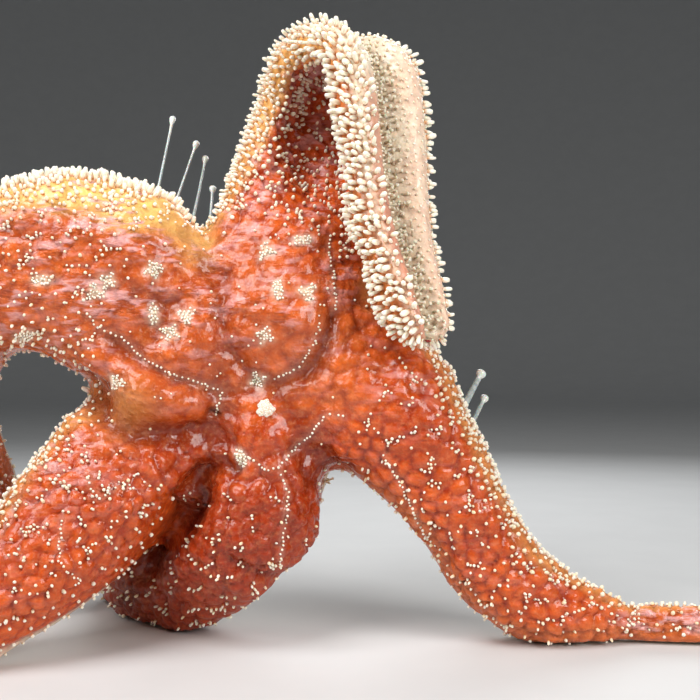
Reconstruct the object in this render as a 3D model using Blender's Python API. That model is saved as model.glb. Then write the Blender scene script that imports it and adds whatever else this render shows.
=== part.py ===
# An ochre sea star, life size, standing upright on its lower arms with the upper arm folded over.
# The body is one lofted form: a five-sided disc and five arms swept along their own lines. It is parted
# into named lengths by thin slits. Every size below is in millimetres, and MM turns it into metres.
# +X is the star's right as seen from its back (aboral) side, +Y is towards its mouth side, +Z is up.
import math
from collections import namedtuple

import bmesh
import bpy
from mathutils import Matrix, Vector
from mathutils.bvhtree import BVHTree

MM = 0.001

# Driving dimensions
SLIT = 0.3  # gap between neighbouring solids
RING_STEP = 5.0  # distance between cross-sections along an arm
TIP_RINGS = (0.62, 0.3, 0.08)  # further cross-sections at an arm's end, as shares of TIP_ROUND
TIP_ROUND = 4.5  # length over which an arm's end is rounded off
TIP_SHARE = 0.25  # an arm's last cross-section against its full one
DISC_CENTRE = Vector((0.0, 0.0, 60.0))
DISC_BACK = 19.0  # from the disc's centre plane to the middle of its back
DISC_FRONT = 11.0  # and to the rim of its mouth
DISC_SMOOTHING, RIM_SMOOTHING = 8, 3  # rounds of smoothing of the back, and of the mouth side with the webs
DOME_LOOPS = (0.84, 0.68, 0.52, 0.35, 0.17)  # rings of the disc's back, as shares of the way to its rim
MOUTH_LOOPS = (0.8, 0.6, 0.4, 0.2, 0.0)  # and of its mouth side, as shares of the way from lip to rim
MOUTH_RADIUS, MOUTH_DEPTH = 7.0, 4.5
GROOVE_DEPTH, GROOVE_HALF_WIDTH = 4.2, 2.6  # the groove that runs under each arm
OPEN_GROOVES = {"upper": 1.35}  # where the fold stretches it wider and deeper
STANCE = Vector((-3.28, 10.48, 0.0))  # moves the finished star over its origin

# A cross-section: points over the rounded back, then across the flatter mouth side from left to right.
BACK_STEPS = 10
BACK_FULLNESS = 2.3  # 2 is an ellipse, and more is squarer
ORAL_PLACES = (-0.86, -0.62, -0.38, -0.17, 0.0, 0.17, 0.38, 0.62, 0.86)
ORAL_FULLNESS = 3.2
RING_SIZE = BACK_STEPS + 1 + len(ORAL_PLACES)

# Where two neighbouring arms meet: direction from the disc's centre in degrees, distance, and depth
Web = namedtuple("Web", "angle reach y")
WEBS = {
    "right_upper": Web(28, 38, 2),
    "upper_left": Web(101, 35.5, 3),
    "left_lower": Web(185, 34, 2),
    "lower_middle": Web(250, 31, 2),
    "middle_right": Web(313, 41, 2),
}
WEB_HALF_HEIGHT = 9.0
WEB_ROUNDING = 2.0

# A station on an arm: its place, its width, its thickness on the back and on the mouth side of its line,
# the way that its back faces, and how far the middle of its back is sunk
Station = namedtuple("Station", "x y z wide back oral faces sunk", defaults=(0,))

BACK = (0, -1, 0)
FOLD_RADIUS = 12.8  # of the upper arm's middle line where it folds over
FOLD_FROM = Vector((13.8, 6.5, 120.8))
FOLD_TOWARDS = Vector((1.0, -1.0, 0.0)).normalized()


def fold_stations(wide, back, oral, sunk):
    """The half turn by which the upper arm folds over, with its back on the inside."""
    stations = []
    for degrees in (0, 45, 90, 135, 180):
        angle = math.radians(degrees)
        inward = FOLD_TOWARDS * math.cos(angle) - Vector((0, 0, math.sin(angle)))
        place = FOLD_FROM + FOLD_TOWARDS * FOLD_RADIUS - inward * FOLD_RADIUS
        stations.append(Station(*place, wide, back, oral, tuple(inward), sunk))
    return stations


FLAP = tuple(-FOLD_TOWARDS)
ARMS = {
    "upper": [
        Station(12.2, -1.5, 87, 43, 19, 14, BACK, 0),
        Station(13.4, -0.5, 94.5, 40, 14, 13, (0.1, -1, 0), 3),
        Station(13.4, 2.8, 105, 34, 12, 10, (0.4, -0.9, 0), 8),
        *fold_stations(27, 7.5, 6.2, 5),
        Station(33.4, -15.5, 99.9, 24.5, 7, 6.3, FLAP, 3),
        Station(35.4, -19, 87.1, 21, 6.5, 6, FLAP, 1),
        Station(38.6, -23, 75.7, 17.5, 6, 5.8, FLAP),
        Station(41.4, -26, 65.2, 14, 5, 5, FLAP),
    ],
    "left": [
        Station(-21, -2, 76.5, 48, 20, 14, BACK),
        Station(-33, -4.5, 82, 47, 19.5, 13.5, BACK),
        Station(-46, -5, 83.3, 42, 18.5, 13, BACK),
        Station(-60, -3, 79, 38.5, 18, 12, BACK),
        Station(-71, 3, 66, 36, 17, 11, BACK),
        Station(-73.5, 9, 49.5, 32, 15, 10, BACK),
        Station(-67.5, 13, 33, 27, 13, 8.5, BACK),
        Station(-59, 15.5, 17, 21, 10, 7, BACK),
        Station(-50.5, 17, 3.2, 15, 7, 5.5, BACK),
    ],
    "lower_left": [
        Station(-23.2, -5, 41.8, 36.4, 19, 13, BACK),
        Station(-30.9, -12, 31.1, 35.4, 17, 11, (-0.1, -0.97, 0.2)),
        Station(-39.4, -18, 21.4, 31.4, 15, 10, (0, -0.93, 0.35)),
        Station(-49, -24, 12.9, 25, 12.5, 8, (0, -0.85, 0.5)),
        Station(-62, -31, 8, 21, 9.5, 7, (0, -0.6, 0.8)),
        Station(-79, -40, 6, 18, 8, 5.5, (0, -0.3, 0.95)),
        Station(-96, -49, 4.8, 14.5, 6.2, 4.6, (0, 0, 1)),
        Station(-110, -56, 3.8, 11, 5, 3.8, (0, 0, 1)),
    ],
    "lower_middle": [
        Station(6.6, -4, 33.2, 33, 19, 12, BACK),
        Station(4.5, -6.5, 27.2, 29.4, 18, 11, BACK),
        Station(0.5, -6, 21.5, 26.6, 16, 10, BACK),
        Station(-5.6, -0.5, 15.2, 26, 13, 9, BACK),
        Station(-13.9, 5.6, 11.4, 24.6, 10, 8, BACK),
        Station(-22.6, 10.4, 9.2, 20.2, 8.5, 6.5, BACK),
        Station(-29, 17.5, 7.4, 16, 7.2, 5.5, (-0.6, -0.8, 0)),
        Station(-32.5, 27, 5.2, 12, 6.2, 4.5, (-0.9, -0.3, 0.2)),
        Station(-35, 38.5, 4, 10, 5, 4, (-0.95, -0.2, 0.3)),
    ],
    "right": [
        Station(28.2, -3, 54.4, 43, 20, 13.5, BACK),
        Station(33.8, -3.5, 51, 39.5, 19, 12.5, BACK),
        Station(38.9, -4, 44.8, 33, 18, 12, BACK),
        Station(44.8, -4, 37.2, 28.8, 17, 11.5, BACK),
        Station(51.4, -4, 26.5, 24.8, 15.5, 10.5, BACK),
        Station(56.2, -5, 18.1, 24.6, 14.5, 9.5, BACK),
        Station(62.5, -6, 12, 23.2, 12.5, 8.5, (0, -0.98, 0.1)),
        Station(70.5, -6, 8, 20, 10.5, 7.5, (0, -0.95, 0.2)),
        Station(79, -7, 6.2, 15, 8, 6, (0, -0.9, 0.3)),
        Station(87, -7.5, 4.6, 10, 5.4, 4.2, (0, -0.85, 0.4)),
        Station(95, -8, 4.6, 10.8, 5.6, 4.4, (0, -0.8, 0.5)),
        Station(105, -9, 4.4, 10.6, 5.4, 4.2, (0, -0.75, 0.6)),
        Station(117, -10, 3.9, 9, 4.6, 3.8, (0, -0.7, 0.7)),
    ],
}

# How many cross-sections of each arm belong to the disc
COLLARS = {"upper": 2, "left": 2, "lower_left": 2, "lower_middle": 3, "right": 3}

# The names of each arm's lengths, and the shares of its line at which they are parted
LENGTHS = {
    "upper": (("base", "fold", "flap", "tip"), (0.25, 0.62, 0.85)),
    "left": (("base", "bend", "tip"), (0.3, 0.68)),
    "lower_left": (("base", "middle", "tip"), (0.32, 0.66)),
    "lower_middle": (("base", "curl", "tip"), (0.3, 0.66)),
    "right": (("base", "heel", "tip"), (0.35, 0.68)),
}

# Where the skin is puffed up or drawn in: (centre), radius and height of the swelling
Swelling = namedtuple("Swelling", "x y z radius height")
SWELLINGS = [
    Swelling(20, -18, 74, 15, 3.0),
    Swelling(-4, -18, 70, 12, 1.5),
    Swelling(8, -18, 46, 11, 1.5),
    # the lobe at the foot of the left arm, and the fold under it
    Swelling(-16, -18, 58, 13, 4.0),
    Swelling(-25, -18, 60, 11, 2.2),
    Swelling(-21, -17, 47.5, 6, -1.6),
    Swelling(-12, -17, 44.5, 6, -2.0),
    Swelling(-4, -17, 46.5, 5, -1.6),
]
# Low humps on the mouth side of the disc, between the grooves
MOUTH_HUMP_REACH, MOUTH_HUMP_RADIUS, MOUTH_HUMP_HEIGHT = 18.0, 9.5, 1.6
# Low humps of the arms, which lie left and right of the middle line of the back by turns
HUMP_STEP, HUMP_SIDE, HUMP_RADIUS, HUMP_HEIGHT = 11.0, 0.62, 9.0, 1.2

# Tube feet that reach out from behind: (a point near the root), (the tip)
TUBE_FEET = {
    "tube_foot_1": ((-24, 14, 91), (-20, 28, 124.5)),
    "tube_foot_2": ((-20.5, 14, 92), (-13.8, 27, 118)),
    "tube_foot_3": ((-13.5, 14, 93), (-11.8, 29, 114.5)),
    "tube_foot_4": ((-9, 14, 92), (-8.8, 20, 105.5)),
    "tube_foot_5": ((49, 10, 46), (58.3, 22, 59.5)),
    "tube_foot_6": ((51, 10, 40), (59.3, 23, 53.3)),
}
FOOT_RADIUS, SUCKER_RADIUS = 0.5, 0.95
FOOT_SEGMENTS = 8
BUTTON_SEGMENTS = 14

# The sieve plate on the disc's back
PLATE_PLACE = Vector((7.0, -18.0, 52.8))
PLATE_RADIUS, PLATE_HEIGHT = 2.6, 0.9

# The light-sensing spot at each arm's end
EYE_RADIUS, EYE_HEIGHT = 0.8, 0.6

ORANGE = (0.72, 0.16, 0.035, 1)
DEEP_ORANGE = (0.62, 0.11, 0.03, 1)
CREAM = (0.86, 0.76, 0.58, 1)
PALE_GREY = (0.62, 0.66, 0.64, 1)
EYE_RED = (0.5, 0.02, 0.02, 1)


def clear_scene():
    for obj in list(bpy.data.objects):
        bpy.data.objects.remove(obj, do_unlink=True)


def make_material(name, colour, roughness):
    material = bpy.data.materials.new(name)
    material.use_nodes = True
    shader = material.node_tree.nodes["Principled BSDF"]
    shader.inputs["Base Color"].default_value = colour
    shader.inputs["Roughness"].default_value = roughness
    return material


def make_object(name, bm, material, sharp_degrees=50):
    """Turns a mesh in millimetres into a smooth-shaded object in metres, over the star's origin."""
    bmesh.ops.recalc_face_normals(bm, faces=bm.faces)
    if bm.calc_volume(signed=True) < 0:
        bmesh.ops.reverse_faces(bm, faces=bm.faces)
    bm.transform(Matrix.Scale(MM, 4) @ Matrix.Translation(STANCE))
    mesh = bpy.data.meshes.new(name)
    bm.to_mesh(mesh)
    bm.free()
    mesh.shade_smooth()
    mesh.set_sharp_from_angle(angle=math.radians(sharp_degrees))
    mesh.materials.append(material)
    obj = bpy.data.objects.new(name, mesh)
    bpy.context.scene.collection.objects.link(obj)
    return obj


# The arms' lines and cross-sections


def spline(rows, index, share):
    """Catmull-Rom value between rows index and index + 1."""
    before = rows[max(index - 1, 0)]
    here = rows[index]
    there = rows[index + 1]
    beyond = rows[min(index + 2, len(rows) - 1)]
    return 0.5 * (
        2 * here
        + (there - before) * share
        + (2 * before - 5 * here + 4 * there - beyond) * share**2
        + (3 * here - before - 3 * there + beyond) * share**3
    )


def arm_line(stations, fine=24):
    """Samples of the arm at its cross-sections: place, sizes, facing and distance from the arm's end."""
    places = [Vector(s[:3]) for s in stations]
    sizes = [Vector((s.wide, s.back, s.oral, s.sunk)) for s in stations]
    facings = [Vector(s.faces) for s in stations]
    samples = []
    for index in range(len(stations) - 1):
        for step in range(fine):
            share = step / fine
            facing = facings[index].lerp(facings[index + 1], share)
            samples.append((spline(places, index, share), spline(sizes, index, share), facing))
    samples.append((places[-1], sizes[-1], facings[-1]))
    travelled = [0.0]
    for one, other in zip(samples, samples[1:]):
        travelled.append(travelled[-1] + (other[0] - one[0]).length)
    length = travelled[-1]
    count = round((length - TIP_ROUND) / RING_STEP)
    goals = [(length - TIP_ROUND) * ring / count for ring in range(count + 1)]
    goals += [length - TIP_ROUND * share for share in TIP_RINGS]
    line = []
    at = 0
    for goal in goals:
        while at < len(samples) - 2 and travelled[at + 1] < goal:
            at += 1
        share = (goal - travelled[at]) / (travelled[at + 1] - travelled[at])
        one, other = samples[at], samples[at + 1]
        line.append([a.lerp(b, share) for a, b in zip(one, other)] + [length - goal])
    return line


def section(wide, back, oral, sunk, open_groove):
    """(sideways, towards the back) of each point of a cross-section, from the right margin over the back."""
    points = []
    half = wide / 2
    for step in range(BACK_STEPS + 1):
        angle = math.pi * step / BACK_STEPS
        across = math.copysign(abs(math.cos(angle)) ** (2 / BACK_FULLNESS), math.cos(angle))
        over = abs(math.sin(angle)) ** (2 / BACK_FULLNESS)
        points.append((across * half, over * back - sunk * math.exp(-((across / 0.5) ** 2)) * over))
    groove_scale = min(1.0, wide / 26) * open_groove
    for place in ORAL_PLACES:
        under = oral * (1 - abs(place) ** ORAL_FULLNESS) ** (1 / ORAL_FULLNESS)
        points.append((place * half, groove_at(place * half, groove_scale) - under))
    return points


def groove_at(across, scale=1.0):
    """How deep the groove is at a distance from the arm's middle line."""
    return GROOVE_DEPTH * scale * math.exp(-((across / (GROOVE_HALF_WIDTH * scale)) ** 2))


def line_frames(line):
    """At each sample of an arm's line: its direction, the way its back faces, and its right."""
    frames = []
    for index, (_, _, facing, _) in enumerate(line):
        ahead = line[min(index + 1, len(line) - 1)][0]
        behind = line[max(index - 1, 0)][0]
        along = (ahead - behind).normalized()
        back = (facing - along * facing.dot(along)).normalized()
        frames.append((along, back, along.cross(back)))
    return frames


def arm_rings(arm):
    """The arm's cross-sections as lists of points, and its line's direction at each."""
    line = arm_line(ARMS[arm])
    frames = line_frames(line)
    open_groove = OPEN_GROOVES.get(arm, 1.0)
    swellings = SWELLINGS + mouth_humps() + arm_humps(line, frames)
    rings = []
    for index, (place, sizes, _, from_end) in enumerate(line):
        _, back, right = frames[index]
        scale = math.sqrt(max(0.0, 1 - max(0.0, 1 - from_end / TIP_ROUND) ** 2))
        scale = TIP_SHARE + (1 - TIP_SHARE) * scale
        points = section(*sizes, open_groove)
        ring = [place + (right * across + back * up) * scale for across, up in points]
        if index >= COLLARS[arm]:
            ring = [swell(point, (point - place).normalized(), swellings) for point in ring]
        rings.append(ring)
    return rings, [along for along, _, _ in frames]


def swell(point, outward, swellings):
    """The point moved outwards by the swellings that reach it."""
    moved = point.copy()
    for x, y, z, radius, height in swellings:
        near = (point - Vector((x, y, z))).length / radius
        if near < 1:
            moved += outward * height * math.cos(near * math.pi / 2) ** 2
    return moved


def mouth_humps():
    """The swellings of the mouth side, one towards each web."""
    humps = []
    for web in WEBS.values():
        angle = math.radians(web.angle)
        outward = Vector((math.cos(angle), 0, math.sin(angle)))
        place = DISC_CENTRE + outward * MOUTH_HUMP_REACH + Vector((0, DISC_FRONT, 0))
        humps.append(Swelling(*place, MOUTH_HUMP_RADIUS, MOUTH_HUMP_HEIGHT))
    return humps


def arm_humps(line, frames):
    """The swellings of an arm's back, every HUMP_STEP along its line, right and left by turns."""
    humps = []
    travelled, goal, side = 0.0, HUMP_STEP, HUMP_SIDE
    for index in range(1, len(line)):
        travelled += (line[index][0] - line[index - 1][0]).length
        if travelled < goal or index < 3:
            continue
        goal += HUMP_STEP
        side = -side
        place, sizes = line[index][:2]
        _, back, right = frames[index]
        wide, thick = sizes[0], sizes[1]
        if wide < 16:
            break
        top = place + right * side * wide / 2 + back * thick * math.sqrt(1 - side * side)
        humps.append(Swelling(*top, HUMP_RADIUS, HUMP_HEIGHT))
    return humps


def settle(bm):
    """Flattens what would lie under the floor."""
    for vert in bm.verts:
        vert.co.z = max(vert.co.z, 0.0)


# The disc


def web_column(name):
    """The three corners where two arms meet: towards the back, the edge, and towards the mouth side."""
    web = WEBS[name]
    angle = math.radians(web.angle)
    outward = Vector((math.cos(angle), 0, math.sin(angle)))
    edge = DISC_CENTRE + outward * web.reach + Vector((0, web.y, 0))
    inner = edge - outward * WEB_ROUNDING
    height = Vector((0, WEB_HALF_HEIGHT, 0))
    return inner - height, edge, inner + height


def root_ring(ring, right_web, left_web):
    """The arm's first cross-section with its margins moved to the webs on both sides."""
    ring = list(ring)
    ring[1], ring[0], ring[RING_SIZE - 1] = web_column(right_web)
    ring[BACK_STEPS - 1], ring[BACK_STEPS], ring[BACK_STEPS + 1] = web_column(left_web)
    return ring


def cap(bm, ring, shift):
    """Closes a ring with a fan of triangles, after moving it by shift."""
    for vert in ring:
        vert.co += shift
    centre = bm.verts.new(sum((v.co for v in ring), Vector()) / len(ring))
    for one, other in zip(ring, ring[1:] + ring[:1]):
        bm.faces.new((centre, one, other))


def loft(bm, rings):
    """Joins rings of vertices with quads."""
    for ring, after in zip(rings, rings[1:]):
        for i in range(len(ring)):
            j = (i + 1) % len(ring)
            bm.faces.new((ring[i], ring[j], after[j], after[i]))


def smooth_verts(bm, verts):
    """Moves each vertex halfway to the middle of its neighbours."""
    verts = list(dict.fromkeys(verts))
    bmesh.ops.smooth_vert(bm, verts=verts, factor=0.5, use_axis_x=True, use_axis_y=True, use_axis_z=True)


def make_disc(arms, directions, material):
    """The disc with the first rings of all five arms, one smooth form."""
    bm = bmesh.new()
    webs = list(WEBS)
    corners = {name: [bm.verts.new(p) for p in web_column(name)] for name in webs}
    back_loop, oral_loop, held, soft = [], [], [], []
    for index, name in enumerate(arms):
        right_web, left_web = webs[index], webs[(index + 1) % len(webs)]
        points = root_ring(arms[name][0], right_web, left_web)
        root = [None] * RING_SIZE
        root[1], root[0], root[-1] = corners[right_web]
        root[BACK_STEPS - 1], root[BACK_STEPS], root[BACK_STEPS + 1] = corners[left_web]
        root = [vert or bm.verts.new(point) for vert, point in zip(root, points)]
        rings = [root]
        for ring in arms[name][1 : COLLARS[name] + 1]:
            rings.append([bm.verts.new(point) for point in ring])
        loft(bm, rings)
        back_loop += root[1 : BACK_STEPS - 1]
        soft += root[: BACK_STEPS + 1]
        oral_loop += reversed(root[BACK_STEPS + 2 :])
        held.append((rings[-1], -directions[name][COLLARS[name]] * SLIT / 2))
    pole = bm.verts.new(DISC_CENTRE - Vector((0, DISC_BACK, 0)))
    known = set(bm.verts) - {pole}
    dome = polar_grid(bm, back_loop, lambda rim, index, share: dome_point(pole.co, rim, share), DOME_LOOPS)
    for one, other in zip(dome, dome[1:] + dome[:1]):
        bm.faces.new((pole, one, other))
    soft += [vert for vert in bm.verts if vert not in known]
    for _ in range(DISC_SMOOTHING):
        smooth_verts(bm, soft)
    ends = {vert for ring, _ in held for vert in ring}
    free = [vert for vert in bm.verts if vert not in ends]
    known = set(bm.verts)
    lip = polar_grid(bm, oral_loop, mouth_point, MOUTH_LOOPS)
    rim = oral_loop + [vert for vert in bm.verts if vert not in known and vert not in lip]
    rim += [vert for column in corners.values() for vert in column[1:]]
    for _ in range(RIM_SMOOTHING):
        smooth_verts(bm, rim)
    make_mouth_hollow(bm, lip)
    for ring, shift in held:
        cap(bm, ring, shift)
    bmesh.ops.recalc_face_normals(bm, faces=bm.faces)
    swellings = SWELLINGS + mouth_humps()
    for vert in free:
        vert.co = swell(vert.co, vert.normal, swellings)
    settle(bm)
    return make_object("disc", bm, material)


def dome_point(pole, rim, share):
    """A point of the disc's back, between its middle and its rim, that rises like a low dome."""
    point = pole.lerp(rim, share)
    point.y = pole.y + (rim.y - pole.y) * share**4
    return point


def mouth_point(rim, index, share):
    """A point of the mouth side, between the mouth's lip and the rim. The five grooves run up to the lip."""
    outward = rim - DISC_CENTRE
    outward.y = 0
    places = ORAL_PLACES[:0:-1]
    sunk = groove_at(places[index % len(places)] * 9)
    lip = DISC_CENTRE + outward.normalized() * MOUTH_RADIUS + Vector((0, DISC_FRONT - sunk * 0.8, 0))
    return lip.lerp(rim, share)


def polar_grid(bm, rim, place, shares):
    """Rings of quads from a rim of vertices inwards. Returns the innermost ring."""
    outer = rim
    for share in shares:
        inner = [bm.verts.new(place(vert.co, index, share)) for index, vert in enumerate(rim)]
        loft(bm, [outer, inner])
        outer = inner
    return outer


def make_mouth_hollow(bm, lip):
    """Sinks the mouth into the disc from its lip."""
    floor_centre = DISC_CENTRE + Vector((0, DISC_FRONT - MOUTH_DEPTH, 0))
    floor = []
    for vert in lip:
        outward = vert.co - DISC_CENTRE
        outward.y = 0
        floor.append(bm.verts.new(floor_centre + outward.normalized() * MOUTH_RADIUS * 0.85))
    loft(bm, [lip, floor])
    centre = bm.verts.new(floor_centre)
    for one, other in zip(floor, floor[1:] + floor[:1]):
        bm.faces.new((centre, one, other))


# The arms' lengths


def make_length(name, rings, directions, first, last, material):
    """One length of an arm, from ring first to ring last, parted from its neighbours by half a slit."""
    bm = bmesh.new()
    verts = [[bm.verts.new(point) for point in ring] for ring in rings[first : last + 1]]
    loft(bm, verts)
    at_end = last == len(rings) - 1
    cap(bm, verts[0], directions[first] * SLIT / 2)
    cap(bm, verts[-1], Vector() if at_end else -directions[last] * SLIT / 2)
    settle(bm)
    return make_object(name, bm, material)


def make_arm(arm, rings, directions, materials):
    """An arm's lengths, one object each."""
    names, shares = LENGTHS[arm]
    last_ring = len(rings) - 1
    bounds = [COLLARS[arm]] + [round(share * last_ring) for share in shares] + [last_ring]
    for index, (part, first, last) in enumerate(zip(names, bounds, bounds[1:])):
        make_length(f"arm_{arm}_{part}", rings, directions, first, last, materials[index % 2])


# Small parts


def turned(name, profile, segments, place, axis, material):
    """A profile of (radius, height) points spun into a closed solid, with its height along axis."""
    bm = bmesh.new()
    verts = [bm.verts.new((radius, 0, height)) for radius, height in profile]
    for one, other in zip(verts, verts[1:]):
        bm.edges.new((one, other))
    bmesh.ops.spin(
        bm,
        geom=bm.verts[:] + bm.edges[:],
        cent=(0, 0, 0),
        axis=(0, 0, 1),
        angle=2 * math.pi,
        steps=segments,
        use_merge=True,
    )
    bmesh.ops.remove_doubles(bm, verts=bm.verts, dist=0.001)
    turn = axis.to_track_quat("Z", "Y").to_matrix().to_4x4()
    bm.transform(Matrix.Translation(place) @ turn)
    return make_object(name, bm, material)


def make_mouth(material):
    """The soft ring round the mouth opening, lying in the disc's hollow."""
    profile = [(1.2, 0), (4.6, 0), (4.9, 0.8), (3.9, 1.9), (2.2, 2.3), (1.2, 1.6), (1.2, 0)]
    place = DISC_CENTRE + Vector((0, DISC_FRONT - MOUTH_DEPTH + SLIT, 0))
    return turned("mouth", profile, 20, place, Vector((0, 1, 0)), material)


def surface_tree(objects):
    """All flesh as one search tree, in millimetres."""
    points, faces = [], []
    for obj in objects:
        start = len(points)
        points += [vert.co / MM - STANCE for vert in obj.data.vertices]
        faces += [[start + i for i in polygon.vertices] for polygon in obj.data.polygons]
    return BVHTree.FromPolygons(points, faces)


def make_tube_foot(name, near, tip, tree, material):
    """A stretched tube foot: it leaves the skin squarely, bends towards its tip and ends in a sucker."""
    place, normal, _, _ = tree.find_nearest(Vector(near))
    tip = Vector(tip)
    root = place + normal * (SLIT + 0.1)
    out = root + normal * 6
    path = []
    for share in (0, 0.12, 0.25, 0.4, 0.6, 0.8):
        middle = root.lerp(out, share).lerp(out.lerp(tip, share), share)
        path.append((middle, FOOT_RADIUS * (1.3 - share / 3)))
    along = (tip - path[-1][0]).normalized()
    for before, radius in ((1.1, FOOT_RADIUS), (0.5, SUCKER_RADIUS), (0, SUCKER_RADIUS * 0.85)):
        path.append((tip - along * before, radius))
    bm = bmesh.new()
    rings = []
    across = normal.orthogonal().normalized()
    for index, (middle, radius) in enumerate(path):
        ahead = path[min(index + 1, len(path) - 1)][0] - path[max(index - 1, 0)][0]
        across = (across - ahead * across.dot(ahead) / ahead.length_squared).normalized()
        up = ahead.normalized().cross(across)
        angles = [2 * math.pi * step / FOOT_SEGMENTS for step in range(FOOT_SEGMENTS)]
        spokes = [across * math.cos(angle) + up * math.sin(angle) for angle in angles]
        rings.append([bm.verts.new(middle + spoke * radius) for spoke in spokes])
    loft(bm, rings)
    cap(bm, rings[0], Vector())
    cap(bm, rings[-1], Vector())
    return make_object(name, bm, material)


def make_button(name, near, radius, height, tree, material):
    """A low round button that follows the skin under it at the width of a slit."""
    place, normal, _, _ = tree.find_nearest(Vector(near))
    side = normal.orthogonal().normalized()
    other = normal.cross(side)
    bm = bmesh.new()
    under, over = [], []
    for share, rise in ((0.5, 1.0), (0.82, 0.85), (1.0, 0.45)):
        lower, upper = [], []
        for step in range(BUTTON_SEGMENTS):
            angle = 2 * math.pi * step / BUTTON_SEGMENTS
            spoke = side * math.cos(angle) + other * math.sin(angle)
            hit = tree.ray_cast(place + spoke * radius * share + normal * 5, -normal)[0]
            lower.append(bm.verts.new(hit + normal * SLIT))
            upper.append(bm.verts.new(hit + normal * (SLIT + height * rise)))
        under.append(lower)
        over.append(upper)
    loft(bm, over + under[::-1])
    for ring, level in ((over[0], SLIT + height), (under[0], SLIT)):
        middle = bm.verts.new(place + normal * level)
        for one, two in zip(ring, ring[1:] + ring[:1]):
            bm.faces.new((middle, one, two))
    return make_object(name, bm, material)


def main():
    clear_scene()
    flesh = make_material("flesh", ORANGE, 0.35)
    deep_flesh = make_material("deep flesh", DEEP_ORANGE, 0.35)
    cream = make_material("sieve plate", CREAM, 0.6)
    pale = make_material("tube foot", PALE_GREY, 0.3)
    lip = make_material("mouth", CREAM, 0.4)
    red = make_material("eyespot", EYE_RED, 0.3)

    rings, directions = {}, {}
    for arm in ARMS:
        rings[arm], directions[arm] = arm_rings(arm)
    make_disc(rings, directions, flesh)
    for arm in ARMS:
        make_arm(arm, rings[arm], directions[arm], (deep_flesh, flesh))
    bodies = [obj for obj in bpy.context.scene.collection.objects if obj.type == "MESH"]
    make_mouth(lip)
    tree = surface_tree(bodies)
    for name, (near, tip) in TUBE_FEET.items():
        make_tube_foot(name, near, tip, tree, pale)
    make_button("sieve_plate", PLATE_PLACE, PLATE_RADIUS, PLATE_HEIGHT, tree, cream)
    for arm, stations in ARMS.items():
        end, before = Vector(stations[-1][:3]), Vector(stations[-2][:3])
        beyond = end + (end - before).normalized() * 3
        make_button(f"eyespot_{arm}", beyond, EYE_RADIUS, EYE_HEIGHT, tree, red)


main()
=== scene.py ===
import math

import bmesh
import bpy
import numpy as np
from mathutils import Matrix, Vector
from mathutils.kdtree import KDTree


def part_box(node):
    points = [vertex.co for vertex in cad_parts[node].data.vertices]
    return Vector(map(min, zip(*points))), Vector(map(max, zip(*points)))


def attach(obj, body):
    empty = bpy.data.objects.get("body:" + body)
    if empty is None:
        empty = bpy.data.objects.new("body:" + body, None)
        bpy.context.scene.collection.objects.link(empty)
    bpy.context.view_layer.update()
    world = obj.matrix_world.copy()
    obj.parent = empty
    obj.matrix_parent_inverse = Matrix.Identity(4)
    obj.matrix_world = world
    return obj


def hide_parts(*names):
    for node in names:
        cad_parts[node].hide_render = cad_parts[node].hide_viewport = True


# A wet ochre sea star that stands on its lower arms: one skin over the solids, a coat of lime spines,
# tube feet, the sieve plate, eyespots and mouth. Shapes are worked out in millimetres.
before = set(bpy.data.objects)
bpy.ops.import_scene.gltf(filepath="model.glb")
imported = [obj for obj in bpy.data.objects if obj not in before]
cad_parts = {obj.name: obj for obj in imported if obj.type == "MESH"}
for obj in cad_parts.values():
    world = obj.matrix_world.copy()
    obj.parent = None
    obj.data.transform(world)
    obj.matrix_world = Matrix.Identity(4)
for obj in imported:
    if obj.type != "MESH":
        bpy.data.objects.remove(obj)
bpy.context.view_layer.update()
scene = bpy.context.scene
scene.view_settings.view_transform = "Standard"
mm = 0.001
stance = np.array((-3.28, 10.48, 0.0))  # from the disc's own axes to the frame
chance = np.random.default_rng(11)

# small helpers


def unit(v):
    return v / np.maximum(np.linalg.norm(v, axis=-1, keepdims=True), 1e-9)


def smoothStep(low, high, x):
    t = np.clip((x - low) / (high - low), 0, 1)
    return t * t * (3 - 2 * t)


def waves(points, wavelength, seed, count=18):
    # soft random hills from crossed sine waves, about -1 to 1
    dice = np.random.default_rng(seed)
    ways = unit(dice.normal(size=(count, 3)))
    lengths = wavelength * dice.uniform(0.75, 1.5, count)
    starts = dice.uniform(0, 2 * math.pi, count)
    hills = np.sin(points @ (ways / lengths[:, None]).T * 2 * math.pi + starts).sum(1)
    return hills / math.sqrt(count / 2) / 1.6


def treeOf(points):
    tree = KDTree(len(points))
    for index, point in enumerate(points):
        tree.insert(point, index)
    tree.balance()
    return tree


def nearestFew(tree, points, count):
    # distances to the nearest few seeds, as columns
    rows = [[found[2] for found in tree.find_n(point, count)] for point in points]
    return np.array(rows)


def addObject(name, mesh, replaces=()):
    piece = bpy.data.objects.new(name, mesh)
    scene.collection.objects.link(piece)
    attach(piece, "root")
    if replaces:
        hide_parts(*replaces)
    return piece


def setAttribute(mesh, name, values):
    layer = mesh.attributes.new(name, "FLOAT", "POINT")
    layer.data.foreach_set("value", np.ascontiguousarray(values, dtype=np.float32))


def pourInto(joined, shape, name):
    # adds one bmesh to another, and frees it
    copy = bpy.data.meshes.new(name)
    shape.to_mesh(copy)
    shape.free()
    joined.from_mesh(copy)
    bpy.data.meshes.remove(copy)


def joinTables(tables):
    # tables of arrays with the same columns, one below another
    return {key: np.concatenate([table[key] for table in tables]) for key in tables[0]}


def middleOf(node):
    low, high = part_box(node)
    return (np.array(low) + np.array(high)) / 2 / mm


# materials: node helpers first


def newMaterial(name):
    material = bpy.data.materials.new(name)
    material.use_nodes = True
    tree = material.node_tree
    place = tree.nodes.new("ShaderNodeTexCoord").outputs["Object"]
    return material, tree, tree.nodes["Principled BSDF"], place


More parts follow.
